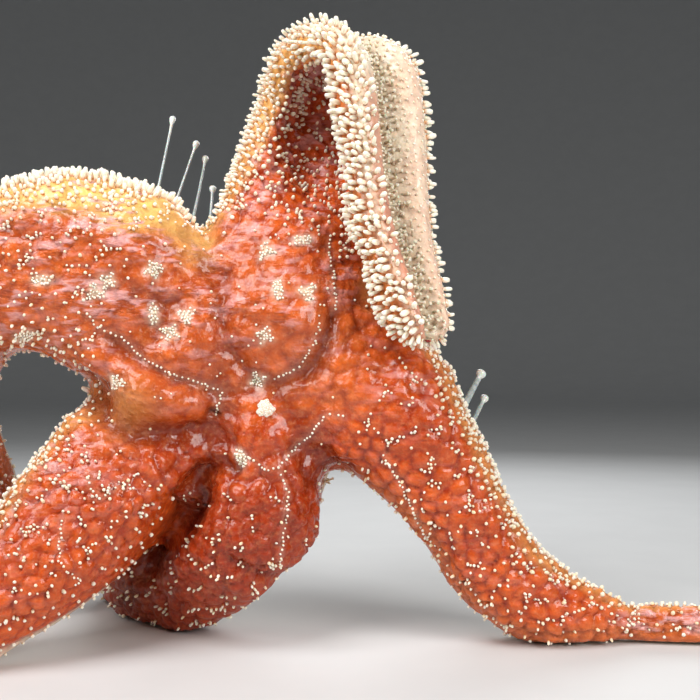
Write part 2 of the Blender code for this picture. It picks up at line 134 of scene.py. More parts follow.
def addNode(tree, kind, **values):
    node = tree.nodes.new(kind)
    for key, value in values.items():
        if hasattr(node, key):
            setattr(node, key, value)
        else:
            node.inputs[key].default_value = value
    return node


def readAttribute(tree, name):
    return addNode(tree, "ShaderNodeAttribute", attribute_name=name).outputs["Fac"]


def mixColours(tree, factor, low, high, blend="MIX"):
    node = addNode(tree, "ShaderNodeMix", data_type="RGBA", blend_type=blend)
    for socket, value in ((node.inputs[0], factor), (node.inputs[6], low), (node.inputs[7], high)):
        if hasattr(value, "is_linked"):
            tree.links.new(value, socket)
        else:
            socket.default_value = value if isinstance(value, float) else (*value, 1)
    return node.outputs[2]


def mapRange(tree, value, low, high, newLow=0.0, newHigh=1.0):
    node = addNode(tree, "ShaderNodeMapRange", interpolation_type="SMOOTHSTEP")
    tree.links.new(value, node.inputs["Value"])
    for key, number in (("From Min", low), ("From Max", high), ("To Min", newLow), ("To Max", newHigh)):
        node.inputs[key].default_value = number
    return node.outputs["Result"]


def timesOf(tree, one, other):
    node = addNode(tree, "ShaderNodeMath", operation="MULTIPLY")
    tree.links.new(one, node.inputs[0])
    tree.links.new(other, node.inputs[1])
    return node.outputs[0]


def blendOf(tree, factor, low, high):
    # a mix of two numbers
    node = addNode(tree, "ShaderNodeMix", data_type="FLOAT")
    tree.links.new(factor, node.inputs[0])
    tree.links.new(low, node.inputs[2])
    tree.links.new(high, node.inputs[3])
    return node.outputs[0]


def noiseOf(tree, place, scale, detail=3.0, roughness=0.55):
    node = addNode(tree, "ShaderNodeTexNoise", Scale=scale, Detail=detail, Roughness=roughness)
    tree.links.new(place, node.inputs["Vector"])
    return node.outputs["Fac"]


def cellsOf(tree, place, scale, feature="F1"):
    node = addNode(tree, "ShaderNodeTexVoronoi", Scale=scale, feature=feature)
    tree.links.new(place, node.inputs["Vector"])
    return node.outputs["Distance"]


def addBump(tree, shader, heights):
    # each height is (socket, depth in metres)
    last = None
    for height, depth in heights:
        bump = addNode(tree, "ShaderNodeBump", Strength=1.0, Distance=depth)
        tree.links.new(height, bump.inputs["Height"])
        if last:
            tree.links.new(last, bump.inputs["Normal"])
        last = bump.outputs["Normal"]
    tree.links.new(last, shader.inputs["Normal"])


def finishMaterial(tree, shader, colour, wet, heights):
    # wet is the roughness, the weight of the wet film, and how much light goes in and how far, in metres
    rough, film, bleed, reach = wet
    sockets = {
        "Roughness": rough,
        "Specular IOR Level": 0.2,
        "Coat Weight": film,
        "Coat Roughness": 0.1,
        "Subsurface Weight": bleed,
        "Subsurface Radius": (1.0, 0.35, 0.18),  # red light goes furthest into flesh
        "Subsurface Scale": reach,
    }
    for name, value in sockets.items():
        shader.inputs[name].default_value = value
    tree.links.new(colour, shader.inputs["Base Color"])
    addBump(tree, shader, heights)


skinLook = {
    "orange": (0.43, 0.036, 0.003),
    # lump: the lumps' own paler flesh on their tops, and painted light on the ridges
    "lump": (0.7, 0.106, 0.01),
    # painted shade in the creases, folds, hollows, the pocket and the gaps between the lumps
    "crease": (0.15, 0.012, 0.002),
    # red: the flesh's own red in clouds, and painted shade in the hood, on the curled arm and low on the
    # disc
    "red": (0.36, 0.033, 0.004),
    "yellow": (0.97, 0.62, 0.19),
    # painted lilac sheen in streaks along the wrinkles, standing in for wet highlights
    "paintedSheen": (0.86, 0.41, 0.38),
    "speck": (0.95, 0.4, 0.17),
    "lime": (0.95, 0.8, 0.62),
    "mouthSide": (0.98, 0.84, 0.65),
    "mouthPink": (0.93, 0.62, 0.46),
    "groove": (0.6, 0.49, 0.34),
    "wet": (0.34, 0.48, 0.1, 0.0012),
    "dull": (0.34, 0.52),  # roughness on the arms, from and to
    "shiny": (0.14, 0.28),  # and where the disc is wettest
    "wrinkleStretch": (0.4, 0.6, 1.3),
    "scales": {"broad": 70.0, "fine": 900.0, "knobs": 620.0, "ripples": 560.0, "wrinkles": 420.0},
    "depths": {"ripples": 0.0006, "folds": 0.0013, "knobs": -0.0004, "fine": 0.00014},  # in metres
}


def makeSkinMaterial(look):
    material, tree, shader, place = newMaterial("wetSkin")
    scales, depths = look["scales"], look["depths"]
    broad = noiseOf(tree, place, scales["broad"])
    fine = noiseOf(tree, place, scales["fine"], 4.0)
    knobs = cellsOf(tree, place, scales["knobs"], "SMOOTH_F1")
    ripples = noiseOf(tree, place, scales["ripples"], 2.0)
    stretch = addNode(tree, "ShaderNodeVectorMath", operation="MULTIPLY")
    tree.links.new(place, stretch.inputs[0])
    stretch.inputs[1].default_value = look["wrinkleStretch"]
    wrinkles = noiseOf(tree, stretch.outputs[0], scales["wrinkles"], 3.0)
    # painted lilac sheen streaks along the stretched wrinkles
    paintedSheen = readAttribute(tree, "paintedSheen")
    sheenStreaks = timesOf(tree, mapRange(tree, wrinkles, 0.47, 0.62), paintedSheen)
    pale = mixColours(tree, mapRange(tree, broad, 0.4, 0.62, 0.0, 0.7), look["mouthSide"], look["mouthPink"])
    pale = mixColours(tree, readAttribute(tree, "rosy"), pale, look["mouthPink"])
    pale = mixColours(tree, readAttribute(tree, "groove"), pale, look["groove"])
    height = mapRange(tree, readAttribute(tree, "lump"), 0.25, 1.0)
    base = mixColours(tree, height, look["orange"], look["lump"])
    # the marks over it, from the lowest to the uppermost: how much of each, and its colour
    marks = (
        (mapRange(tree, broad, 0.3, 0.7, 0.0, 0.6), look["orange"]),
        (readAttribute(tree, "yellow"), look["yellow"]),
        (sheenStreaks, look["paintedSheen"]),
        (readAttribute(tree, "red"), look["red"]),
        (readAttribute(tree, "mouthSide"), pale),
        (readAttribute(tree, "crease"), look["crease"]),
        # painted shade between the small knobs
        (mapRange(tree, knobs, 0.25, 0.75, 0.0, 0.22), look["crease"]),
        (mapRange(tree, fine, 0.45, 0.75, 0.0, 0.18), look["speck"]),
        (readAttribute(tree, "lime"), look["lime"]),
    )
    for share, colour in marks:
        base = mixColours(tree, share, base, colour)
    # the painted sheen's mask also sets where the wrinkles' bumps are
    folds = timesOf(tree, wrinkles, paintedSheen)
    heights = {"ripples": ripples, "folds": folds, "knobs": knobs, "fine": fine}
    finishMaterial(tree, shader, base, look["wet"], [(heights[key], depths[key]) for key in heights])
    dull = mapRange(tree, fine, 0.3, 0.7, *look["dull"])
    shiny = mapRange(tree, fine, 0.3, 0.7, *look["shiny"])
    tree.links.new(blendOf(tree, readAttribute(tree, "wet"), dull, shiny), shader.inputs["Roughness"])
    return material


spineLook = {
    "tip": (0.98, 0.92, 0.78),
    "tanTip": (0.93, 0.8, 0.62),  # the tip's colour times this, on the tannest spines
    "root": (0.75, 0.28, 0.07),
    "paleRoot": (0.62, 0.44, 0.28),
    "speck": (0.95, 0.86, 0.7),
    "grain": (1500.0, 3.0, 0.00006),  # scale, detail and depth
    "wet": (0.38, 0.35, 0.15, 0.0012),
}


def makeSpineMaterial(look):
    material, tree, shader, place = newMaterial("spineLime")
    scale, detail, depth = look["grain"]
    fine = noiseOf(tree, place, scale, detail)
    tan = tuple(c * f for c, f in zip(look["tip"], look["tanTip"]))
    lime = mixColours(tree, readAttribute(tree, "tone"), look["tip"], tan)
    root = mixColours(tree, readAttribute(tree, "pale"), look["root"], look["paleRoot"])
    colour = mixColours(tree, mapRange(tree, readAttribute(tree, "tip"), 0.02, 0.4), root, lime)
    colour = mixColours(tree, mapRange(tree, fine, 0.4, 0.7, 0.0, 0.25), colour, look["speck"])
    finishMaterial(tree, shader, colour, look["wet"], ((fine, depth),))
    return material


# studio

studio = {
    "cameraPlace": (22.0, -239.5, 65.0),
    "sensor": 36,
    "lens": 36 * 1087 / 700,
    "floor": (0.66, 0.66, 0.65),
    "sky": (0.86, 0.9, 0.95),
    "skyStrength": 0.13,
    # in metres: half the floor's width, the radius where it starts to rise, and how steeply
    "floorSize": (3.0, 1.2, 0.9),
    # name: place, aim, width, height, watts, colour
    "lamps": {
        "overhead": ((-140, -150, 400), (0, 0, 60), 260, 200, 1.5, (0.975, 0.985, 1.0)),
        "frontLeft": ((-330, -300, 260), (0, 0, 70), 180, 180, 0.88, (1.0, 0.985, 0.97)),
        "frontRight": ((310, -300, 230), (30, 0, 80), 200, 200, 1.45, (1.0, 0.99, 0.97)),
        "behind": ((80, 330, 260), (0, 0, 70), 300, 200, 0.7, (0.95, 0.97, 1.0)),
    },
}


def makeStudio(values):
    camera = bpy.data.objects.new("camera", bpy.data.cameras.new("camera"))
    camera.data.lens = values["lens"]
    camera.data.sensor_width = values["sensor"]
    camera.data.clip_start = 0.01
    camera.location = Vector(values["cameraPlace"]) * mm
    camera.rotation_euler = (math.pi / 2, 0, 0)
    scene.collection.objects.link(camera)
    scene.camera = camera
    for name, (place, aim, width, height, watts, colour) in values["lamps"].items():
        lamp = bpy.data.lights.new(name, "AREA")
        lamp.shape = "RECTANGLE"
        lamp.size, lamp.size_y = width * mm, height * mm
        lamp.energy, lamp.color = watts, colour
        holder = bpy.data.objects.new(name, lamp)
        holder.location = Vector(place) * mm
        holder.rotation_euler = (Vector(aim) - Vector(place)).to_track_quat("-Z", "Y").to_euler()
        scene.collection.objects.link(holder)
    world = bpy.data.worlds.new("softSky")
    world.use_nodes = True
    world.node_tree.nodes["Background"].inputs["Color"].default_value = (*values["sky"], 1)
    world.node_tree.nodes["Background"].inputs["Strength"].default_value = values["skyStrength"]
    scene.world = world
    # the floor is a wide shallow bowl, level under the star and well round it
    reach, level, rise = values["floorSize"]
    sweep = bmesh.new()
    bmesh.ops.create_grid(sweep, x_segments=40, y_segments=40, size=reach)
    for vert in sweep.verts:
        beyond = max(vert.co.xy.length - level, 0)
        vert.co.z = rise * beyond * beyond
    mesh = bpy.data.meshes.new("floor")
    sweep.to_mesh(mesh)
    sweep.free()
    mesh.shade_smooth()
    floor = bpy.data.objects.new("floor", mesh)
    scene.collection.objects.link(floor)
    material, tree, shader, place = newMaterial("paleFloor")
    tint = mapRange(tree, noiseOf(tree, place, 40.0), 0.3, 0.7, 0.0, 1.0)
    floorColour = mixColours(tree, tint, values["floor"], tuple(c * 0.97 for c in values["floor"]))
    tree.links.new(floorColour, shader.inputs["Base Color"])
    shader.inputs["Roughness"].default_value = 0.7
    mesh.materials.append(material)


makeStudio(studio)
print("studio ready")

# the arms' lines, from the disc's centre outwards, as in the solids

backward = (0, -1, 0)
fold = {"radius": 12.8, "from": (13.8, 6.5, 120.8), "towards": (0.7071, -0.7071, 0), "sizes": (27, 7.5, 6.2)}


def foldStations(values):
    # the half turn by which the upper arm folds over, with its back on the inside
    stations = []
    start, towards = np.array(values["from"]), np.array(values["towards"])
    for degrees in (0, 45, 90, 135, 180):
        angle = math.radians(degrees)
        inward = towards * math.cos(angle) - np.array((0, 0, math.sin(angle)))
        place = start + (towards - inward) * values["radius"]
        stations.append((*place, *values["sizes"], tuple(inward)))
    return stations


flapFacing = (-0.7071, 0.7071, 0)
discStation = (0, 0, 60, 62, 19, 11, backward)
# x, y, z, width, thickness on the back and on the mouth side, and the way the back faces
armStations = {
    "upper": [
        discStation,
        (12.2, -1.5, 87, 43, 19, 14, backward),
        (13.4, -0.5, 94.5, 40, 14, 13, (0.1, -1, 0)),
        (13.4, 2.8, 105, 34, 12, 10, (0.4, -0.9, 0)),
        *foldStations(fold),
        (33.4, -15.5, 99.9, 24.5, 7, 6.3, flapFacing),
        (35.4, -19, 87.1, 21, 6.5, 6, flapFacing),
        (38.6, -23, 75.7, 17.5, 6, 5.8, flapFacing),
        (41.4, -26, 65.2, 14, 5, 5, flapFacing),
    ],
    "left": [
        discStation,
        (-21, -2, 76.5, 48, 20, 14, backward),
        (-33, -4.5, 82, 47, 19.5, 13.5, backward),
        (-46, -5, 83.3, 42, 18.5, 13, backward),
        (-60, -3, 79, 38.5, 18, 12, backward),
        (-71, 3, 66, 36, 17, 11, backward),
        (-73.5, 9, 49.5, 32, 15, 10, backward),
        (-67.5, 13, 33, 27, 13, 8.5, backward),
        (-59, 15.5, 17, 21, 10, 7, backward),
        (-50.5, 17, 3.2, 15, 7, 5.5, backward),
    ],
    "lowerLeft": [
        discStation,
        (-23.2, -5, 41.8, 36.4, 19, 13, backward),
        (-30.9, -12, 31.1, 35.4, 17, 11, (-0.1, -0.97, 0.2)),
        (-39.4, -18, 21.4, 31.4, 15, 10, (0, -0.93, 0.35)),
        (-49, -24, 12.9, 25, 12.5, 8, (0, -0.85, 0.5)),
        (-62, -31, 8, 21, 9.5, 7, (0, -0.6, 0.8)),
        (-79, -40, 6, 18, 8, 5.5, (0, -0.3, 0.95)),
        (-96, -49, 4.8, 14.5, 6.2, 4.6, (0, 0, 1)),
        (-110, -56, 3.8, 11, 5, 3.8, (0, 0, 1)),
    ],
    "lowerMiddle": [
        discStation,
        (6.6, -4, 33.2, 33, 19, 12, backward),
        (4.5, -6.5, 27.2, 29.4, 18, 11, backward),
        (0.5, -6, 21.5, 26.6, 16, 10, backward),
        (-5.6, -0.5, 15.2, 26, 13, 9, backward),
        (-13.9, 5.6, 11.4, 24.6, 10, 8, backward),
        (-22.6, 10.4, 9.2, 20.2, 8.5, 6.5, backward),
        (-29, 17.5, 7.4, 16, 7.2, 5.5, (-0.6, -0.8, 0)),
        (-32.5, 27, 5.2, 12, 6.2, 4.5, (-0.9, -0.3, 0.2)),
        (-35, 38.5, 4, 10, 5, 4, (-0.95, -0.2, 0.3)),
    ],
    "right": [
        discStation,
        (28.2, -3, 54.4, 43, 20, 13.5, backward),
        (33.8, -3.5, 51, 39.5, 19, 12.5, backward),
        (38.9, -4, 44.8, 33, 18, 12, backward),
        (44.8, -4, 37.2, 28.8, 17, 11.5, backward),
        (51.4, -4, 26.5, 24.8, 15.5, 10.5, backward),
        (56.2, -5, 18.1, 24.6, 14.5, 9.5, backward),
        (62.5, -6, 12, 23.2, 12.5, 8.5, (0, -0.98, 0.1)),
        (70.5, -6, 8, 20, 10.5, 7.5, (0, -0.95, 0.2)),
        (79, -7, 6.2, 15, 8, 6, (0, -0.9, 0.3)),
        (87, -7.5, 4.6, 10, 5.4, 4.2, (0, -0.85, 0.4)),
        (95, -8, 4.6, 10.8, 5.6, 4.4, (0, -0.8, 0.5)),
        (105, -9, 4.4, 10.6, 5.4, 4.2, (0, -0.75, 0.6)),
        (117, -10, 3.9, 9, 4.6, 3.8, (0, -0.7, 0.7)),
    ],
}
armNames = list(armStations)
upperArm, leftArm, lowerLeftArm, lowerMiddleArm, rightArm = range(len(armNames))


def splineThrough(rows, step=8):
    rows = np.array(rows, dtype=float)
    padded = np.vstack([rows[0], rows, rows[-1]])
    out = []
    for index in range(len(rows) - 1):
        a, b, c, d = padded[index : index + 4]
        for t in np.arange(step) / step:
            squared = (2 * a - 5 * b + 4 * c - d) * t**2
            cubed = (3 * b - a - 3 * c + d) * t**3
            out.append(0.5 * (2 * b + (c - a) * t + squared + cubed))
    return np.array(out + [rows[-1]])


def makeRoutes():
    # one table of all the arms' lines, with the ways and sizes at each step
    tables = []
    for number, stations in enumerate(armStations.values()):
        values = splineThrough([(*s[:6], *s[6]) for s in stations])
        place = values[:, :3] + stance
        along = unit(np.gradient(place, axis=0))
        back = values[:, 6:9]
        back = unit(back - along * (back * along).sum(1, keepdims=True))
        steps = np.linalg.norm(np.diff(place, axis=0), axis=1)
        table = {"place": place, "along": along, "back": back, "right": np.cross(along, back)}
        table["sizes"] = values[:, 3:6]
        table["travel"] = np.concatenate([[0], np.cumsum(steps)])
        table["arm"] = np.full(len(place), number)
        tables.append(table)
    return joinTables(tables)


routes = makeRoutes()


def locate(points, batch=3000):
    # where each point lies on its nearest arm: how far along, across and up, and that arm's own ways there
    best = np.zeros(len(points), dtype=int)
    thick = routes["sizes"][:, 1:].mean(1)
    half = routes["sizes"][:, 0] / 2
    for start in range(0, len(points), batch):
        off = points[start : start + batch, None] - routes["place"][None]
        score = (np.einsum("ijk,jk->ij", off, routes["along"]) / 5) ** 2
        score += (np.einsum("ijk,jk->ij", off, routes["right"]) / half) ** 2
        score += (np.einsum("ijk,jk->ij", off, routes["back"]) / thick) ** 2
        best[start : start + batch] = score.argmin(1)
    off = points - routes["place"][best]
    at = {"arm": routes["arm"][best], "facing": routes["back"][best], "right": routes["right"][best]}
    at["travel"] = routes["travel"][best] + (off * routes["along"][best]).sum(1)
    at["across"] = (off * routes["right"][best]).sum(1)
    at["up"] = (off * routes["back"][best]).sum(1)
    at["half"] = half[best]
    return at


# one skin over all the flesh

skinShape = {
    "swell": 0.35,  # closes the slits between the solids
    "voxel": 0.885,
    "depth": 1.35,  # of the coat, on the back
    "edgeDepth": 1.9,  # and along the arms' margins
    "smoothing": 20,  # rounds
    "lumpSpacing": 3.0,
    "lumpHeight": 0.95,
    # gapShade and netShade: painted shade in the gaps between the lumps and along the net's furrows
    "gapShade": 0.2625,  # how dark the gaps between the lumps are
    "netSpacing": 5.3,
    "netDepth": 0.4,
    "netShade": 0.2,
    # how yellow the skin is along the two margins of an arm: right and left of its line, seen from its back
    "edgeYellow": {
        "upper": (0.55, 0.6),
        "left": (1.0, 0.1),
        "lowerLeft": (0.45, 0.0),
        "lowerMiddle": (0.0, 0.0),
        "right": (0.1, 0.35),
    },
    "yellowReach": (6.0, 14.5, 10.0, 6.0, 6.0),  # how far in from the margin, on each arm in turn
    # x, z, radius and strength, in the web between the upper and left arms and on the lobe below it
    "yellowPatches": ((-8.5, 89.5, 5.0, 0.5), (-22, 53, 6.5, 0.36)),
    "discYellow": 0.06,
    # where painted lilac sheen stands in for wet highlights, in the same way
    "sheenPatches": ((-34.5, 42, 9, 0.75), (36, 58, 7, 0.5), (-32, 78, 11, 0.35)),
    # how much painted lilac sheen there is
    "paintedSheen": (0.12, 0.58, 0.3, 0.3),  # all over, high on the disc, more on the left arm, and in the hood
    # red in the upper arm's hood, in clouds all over the back, on the curled arm and low on the disc: the
    # clouds are the flesh's own red, the rest is painted shade
    "red": (0.15, 0.3, 0.85, 0.45),
    "hollowShade": 0.6,
    "hollowRounds": 54,  # how broad the hollows are that get this shade
    "swells": ((17, 0.55, 3), (8, 0.28, 4)),  # wavelength, height and seed
    "wrinkle": (0.24, 0.42),  # height of the wrinkles on the disc, and depth of the cuts between them
}
fleshNodes = [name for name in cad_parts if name.startswith("arm_") or name == "disc"]


def remeshFlesh(values):
    # swollen copies of the solids, joined into one closed skin
    body = bmesh.new()
    for name in fleshNodes:
        part = bmesh.new()
        part.from_mesh(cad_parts[name].data)
        bmesh.ops.remove_doubles(part, verts=part.verts, dist=2e-6)
        bmesh.ops.recalc_face_normals(part, faces=part.faces)
        part.normal_update()
        for vert in part.verts:
            vert.co += vert.normal * values["swell"] * mm
        pourInto(body, part, name)
    mesh = bpy.data.meshes.new("skin")
    body.to_mesh(mesh)
    body.free()
    holder = bpy.data.objects.new("skinHolder", mesh)
    scene.collection.objects.link(holder)
    remesh = holder.modifiers.new("remesh", "REMESH")
    remesh.mode = "VOXEL"
    remesh.voxel_size = values["voxel"] * mm
    bpy.context.view_layer.update()
    result = bpy.data.meshes.new_from_object(holder.evaluated_get(bpy.context.evaluated_depsgraph_get()))
    bpy.data.objects.remove(holder)
    return result


def meshArrays(mesh):
    points = np.empty(len(mesh.vertices) * 3)
    mesh.vertices.foreach_get("co", points)
    edges = np.empty(len(mesh.edges) * 2, dtype=int)
    mesh.edges.foreach_get("vertices", edges)
    return points.reshape(-1, 3) / mm, edges.reshape(-1, 2)


def neighbourMean(values, edges):
    total = np.zeros_like(values)
    count = np.bincount(edges.ravel(), minlength=len(values)).astype(float)
    if values.ndim == 1:
        total += np.bincount(edges[:, 0], values[edges[:, 1]], len(values))
        total += np.bincount(edges[:, 1], values[edges[:, 0]], len(values))
        return total / count
    for axis in range(values.shape[1]):
        total[:, axis] = neighbourMean(values[:, axis], edges)
    return total


def relax(values, edges, rounds, keep=0.0):
    for _ in range(rounds):
        values = values * keep + neighbourMean(values, edges) * (1 - keep)
    return values


def relaxShape(points, edges, rounds):
    # smooths without shrinking: each step in is followed by a step out
    for _ in range(rounds):
        points = points + 0.5 * (neighbourMean(points, edges) - points)
        points = points - 0.52 * (neighbourMean(points, edges) - points)
    return points


def moveVertices(mesh, points):
    mesh.vertices.foreach_set("co", (points * mm).ravel())
    mesh.update()


def vertexNormals(mesh, points):
    moveVertices(mesh, points)
    normals = np.empty(len(points) * 3, dtype=np.float32)
    mesh.vertex_normals.foreach_get("vector", normals)
    return normals.reshape(-1, 3).astype(float)


# Lines and places on the disc's back are in its plane, as (x, z).
# Folds: a line, its depth and its half-width. A negative depth raises a ridge.
backFolds = {
    "underLeftLobe": ([(-32, 59), (-27, 51.2), (-21, 47.2), (-13.6, 46.9), (-6, 48.6)], 2.1, 2.4),
    "leftLobe": ([(-29, 63.5), (-24, 58.5), (-15, 54), (-8, 52.5)], -1.6, 4.0),
    "bulgeFoot": ([(5, 58), (10, 57.3), (15, 59.5), (19.5, 65), (21.5, 72)], 1.8, 1.8),
    "bulgeSide": ([(-2, 82), (-2.5, 74), (-1, 66), (4, 59)], 1.5, 1.9),
    "lobeTop": ([(-27, 68), (-20, 63), (-13, 59.2), (-7, 57.2), (-3, 55)], 1.5, 1.3),
    "webUpperLeft": ([(-7, 93), (-6, 86), (-4, 80)], 0.9, 2.2),
    "webLower": ([(-13, 31), (-10, 36), (-5, 39.5), (1, 40)], 1.6, 1.6),
    "webRight": ([(24, 38), (20, 42), (14, 44)], 1.0, 2.0),
    "centrePit": ([(-4.6, 51.6), (-3.4, 51)], 2.6, 0.9),
    "curlFold": ([(0, 21), (4, 17.5), (11, 15)], 1.6, 1.4),
}
# the deep pocket between the two lower left arms, with painted shade in it, and the painted shadow on the
# arm behind it. Their lines are drawn on a plane in front of the star, and go back from there in line with
# an eye point.
armPocket = {
    "eye": (25.3, 65),
    "eyeDistance": 250,
    "planeDistance": 232,
    "line": [(-9, 32.5), (-11.2, 28.9), (-13, 26), (-14.8, 23.4), (-16.8, 20.6), (-18.8, 17.8)],
    "depth": 10.0,
    "width": 3.3,
    "shadeLine": [(-13, 26), (-17, 20), (-21, 14.5), (-24, 10)],
    "shadeWidth": 3.6,
}
# round swellings: x, z, radius, height
backBulges = {
    "big": (9.9, 71, 12, 3.6),
    "side": (26, 60, 9, 2.2),
    "middle": (-9, 66.5, 9, 1.6),
    "low": (6, 49, 6, 0.8),
    "lobe": (-19, 55.5, 9, 1.5),
}
# single rows of small spines, along the main struts of the skeleton
spineRows = {
    "leftLobe": [
        (-30, 72.5), (-28, 69.6), (-23.7, 68), (-18.9, 63.4), (-13, 60), (-7.5, 58.2), (-2.2, 56.3),
        (-3.7, 51),
    ],
    "bulge": [(9.7, 59), (12, 60), (14.9, 61.9), (17.3, 65.8), (18.7, 69.6), (19.2, 71.5)],
    "neck": [(21, 90), (20.4, 86.3), (21.6, 82.4), (22, 78), (22.2, 74)],
    "upperMiddle": [
        (1.1, 42.4), (4.4, 42), (7.3, 39.6), (10.1, 40), (12.9, 43.4), (16.3, 46.2), (20.2, 51.4), (24, 51),
    ],
    "lowerMiddle": [(10.1, 40), (11.1, 37.3), (12.1, 34.8), (11.8, 30), (10.9, 24.3), (10.4, 19)],
    "lowerLeft": [(-28.6, 39.7), (-27.6, 36), (-25.9, 34.3), (-24, 35.7), (-22.3, 37.9), (-19.7, 36)],
    "lowerLeftRun": [(-33.4, 30.8), (-33.4, 22.8), (-32.1, 20.6), (-30.3, 18.9), (-30.3, 12.7)],
    "right": [(32.2, 43), (36, 36.5), (39.4, 29.3), (41.7, 24.7), (45.5, 21.3)],
}
# centres of the bunches of spines where struts meet
bunches = [
    (-39.4, 79.6), (-28.4, 77.2), (-25.6, 79.6), (-16.5, 72.4), (-9.4, 72.4), (-16.5, 82), (14.9, 88.7),
    (7.3, 86.3), (7.3, 68.1), (10.1, 77.7), (16.3, 77.2), (5.4, 58.4), (-44.6, 67.9), (-23.7, 58.2),
    (-12.7, 68.6), (2, 42),
]


def distanceToLine(points, line):
    best = np.full(len(points), 1e9)
    for one, other in zip(line, line[1:]):
        a, b = np.array(one), np.array(other)
        t = np.clip(((points - a) @ (b - a)) / ((b - a) @ (b - a)), 0, 1)
        best = np.minimum(best, np.linalg.norm(points - (a + t[:, None] * (b - a)), axis=1))
    return best


def spread(points, spacing, seed):
    # picks points in a random order, each of which clears its own spacing round it
    order = np.random.default_rng(seed).permutation(len(points))
    spacing = np.broadcast_to(spacing, len(points))
    tree = treeOf(points)
    alive = np.ones(len(points), dtype=bool)
    picked = []
    for index in order:
        if alive[index]:
            picked.append(index)
            for _, other, _ in tree.find_range(points[index], spacing[index]):
                alive[other] = False
    return np.array(picked, dtype=int)


def rowReach(plane):
    # distance from the nearest row
    near = np.full(len(plane), 9.0)
    for line in spineRows.values():
        near = np.minimum(near, distanceToLine(plane, line))
    return near


def bunchReach(plane):
    # distance from the nearest bunch's centre, measured so that bunches come out starry
    near = np.full(len(plane), 9.0)
    for number, centre in enumerate(bunches):
        off = plane - centre
        turn = np.arctan2(off[:, 1], off[:, 0])
        arms = 2 + number % 3
        near = np.minimum(near, np.linalg.norm(off, axis=1) / (1 + 0.42 * np.cos(arms * turn + number)))
    return near


def limeMask(plane):
    # pale skin under the bunches and rows of small spines
    rows = 0.15 * np.exp(-((rowReach(plane) / 0.5) ** 2))
    return np.maximum(rows, 0.95 * np.exp(-((bunchReach(plane) / 1.4) ** 3)))


armLengths = [routes["travel"][routes["arm"] == number].max() for number in range(len(armNames))]


def hill(off, width):
    # 1 in the middle, falling softly to 0 with distance
    return np.exp(-((off / width) ** 2))


def patchesAt(plane, patches):
    # the strongest of some soft round patches: x, z, radius, strength
    best = np.zeros(len(plane))
    for x, z, radius, strength in patches:
        off = np.linalg.norm(plane - (x, z), axis=1)
        best = np.maximum(best, strength * hill(off, radius))
    return best


def findSides(mesh, skin):
    # side is 1 on the back, 0 along the margins and -1 on the mouth side
    at, edges = skin["at"], skin["edges"]
    calm = unit(relax(vertexNormals(mesh, skin["points"]), edges, 8))
    facing = unit(relax(at["facing"], edges, 12))
    turned = (calm * facing).sum(1)
    onArm = smoothStep(30, 42, at["travel"])
    edgeness = np.clip(np.abs(at["across"]) / at["half"], 0, 1) ** 3
    side = turned * (1 - onArm) + np.sign(turned) * (1 - edgeness) * onArm
    skin["side"], skin["calm"] = relax(side, edges, 3), calm


def drawIn(mesh, skin, values):
    # moves the skin inwards by the coat's depth, less where the arms lie on the floor
    points, edges = skin["points"], skin["edges"]
    margin = hill(skin["side"], 0.35)
    depth = values["depth"] + (values["edgeDepth"] - values["depth"]) * margin + values["swell"]
    skin["lying"] = smoothStep(2.5, 0.3, points[:, 2])
    depth = depth * (1 - 0.55 * skin["lying"])
    skin["points"] = relaxShape(points - skin["calm"] * depth[:, None], edges, 4)
    skin["calm"] = unit(relax(vertexNormals(mesh, skin["points"]), edges, 4))


def foldBack(skin):
    # folds and ridges drawn on the back, with painted shade in the folds
    for line, deep, wide in backFolds.values():
        near = hill(distanceToLine(skin["plane"], line), wide) * skin["front"]
        skin["lift"] -= near * deep
        if deep > 0:
            skin["crease"] = np.maximum(skin["crease"], near**2 * min(1.0, deep / 2.4))


def openPocket(skin, values):
    # sinks the pocket into the arm behind it, and paints shade into it and a shadow onto the arm behind it
    side, disc, arm, eye = skin["side"], skin["disc"], skin["at"]["arm"], values["eye"]
    shrink = (values["planeDistance"] / (disc[:, 1] + values["eyeDistance"]))[:, None]
    inLine = (skin["plane"] - eye) * shrink + eye
    pocket = hill(distanceToLine(inLine, values["line"]), values["width"]) * smoothStep(4, -4, disc[:, 1])
    skin["pocketNear"] = pocket**0.3
    pocket = pocket * (1 - (arm == lowerLeftArm) * smoothStep(0.12, 0.45, side))
    pocket = pocket * smoothStep(-0.5, -0.1, side)
    skin["pocket"] = relax(pocket, skin["edges"], 3)
    skin["points"] = skin["points"] + (0, 1, 0) * (skin["pocket"] * values["depth"])[:, None]
    shade = hill(distanceToLine(inLine, values["shadeLine"]), values["shadeWidth"])
    skin["shade"] = shade * (arm == lowerMiddleArm) * smoothStep(-0.4, 0, side)
    dark = np.clip(np.maximum(skin["pocket"] * 1.7, skin["shade"] * 0.85), 0, 1)
    skin["crease"] = np.maximum(skin["crease"], dark)


def swellBack(skin, values):
    # round swellings, broad waves, and drawn wrinkles on the upper half of the disc
    points, disc, at, lift = skin["points"], skin["disc"], skin["at"], skin["lift"]
    for x, z, radius, height in backBulges.values():
        off = np.linalg.norm(skin["plane"] - (x, z), axis=1) / radius
        lift += height * np.where(off < 1, np.cos(off * math.pi / 2) ** 2, 0) ** 0.7 * skin["front"]
    lift += sum(waves(points, size, seed) * high * skin["back"] for size, high, seed in values["swells"])
    onLeft = 0.75 * (at["arm"] == leftArm) * smoothStep(75, 55, at["travel"])
    smooth = np.maximum(smoothStep(46, 28, at["travel"]), onLeft)
    skin["smooth"] = smooth * skin["front"] * smoothStep(42, 53, disc[:, 2])
    drawn = waves(points * (0.42, 0.6, 1.25), 5.2, 15)
    height, depth = values["wrinkle"]
    cuts = depth * hill(drawn, 0.16) * smoothStep(-0.2, 0.7, waves(points, 15, 16))
    lift += (height * drawn - cuts) * skin["smooth"]


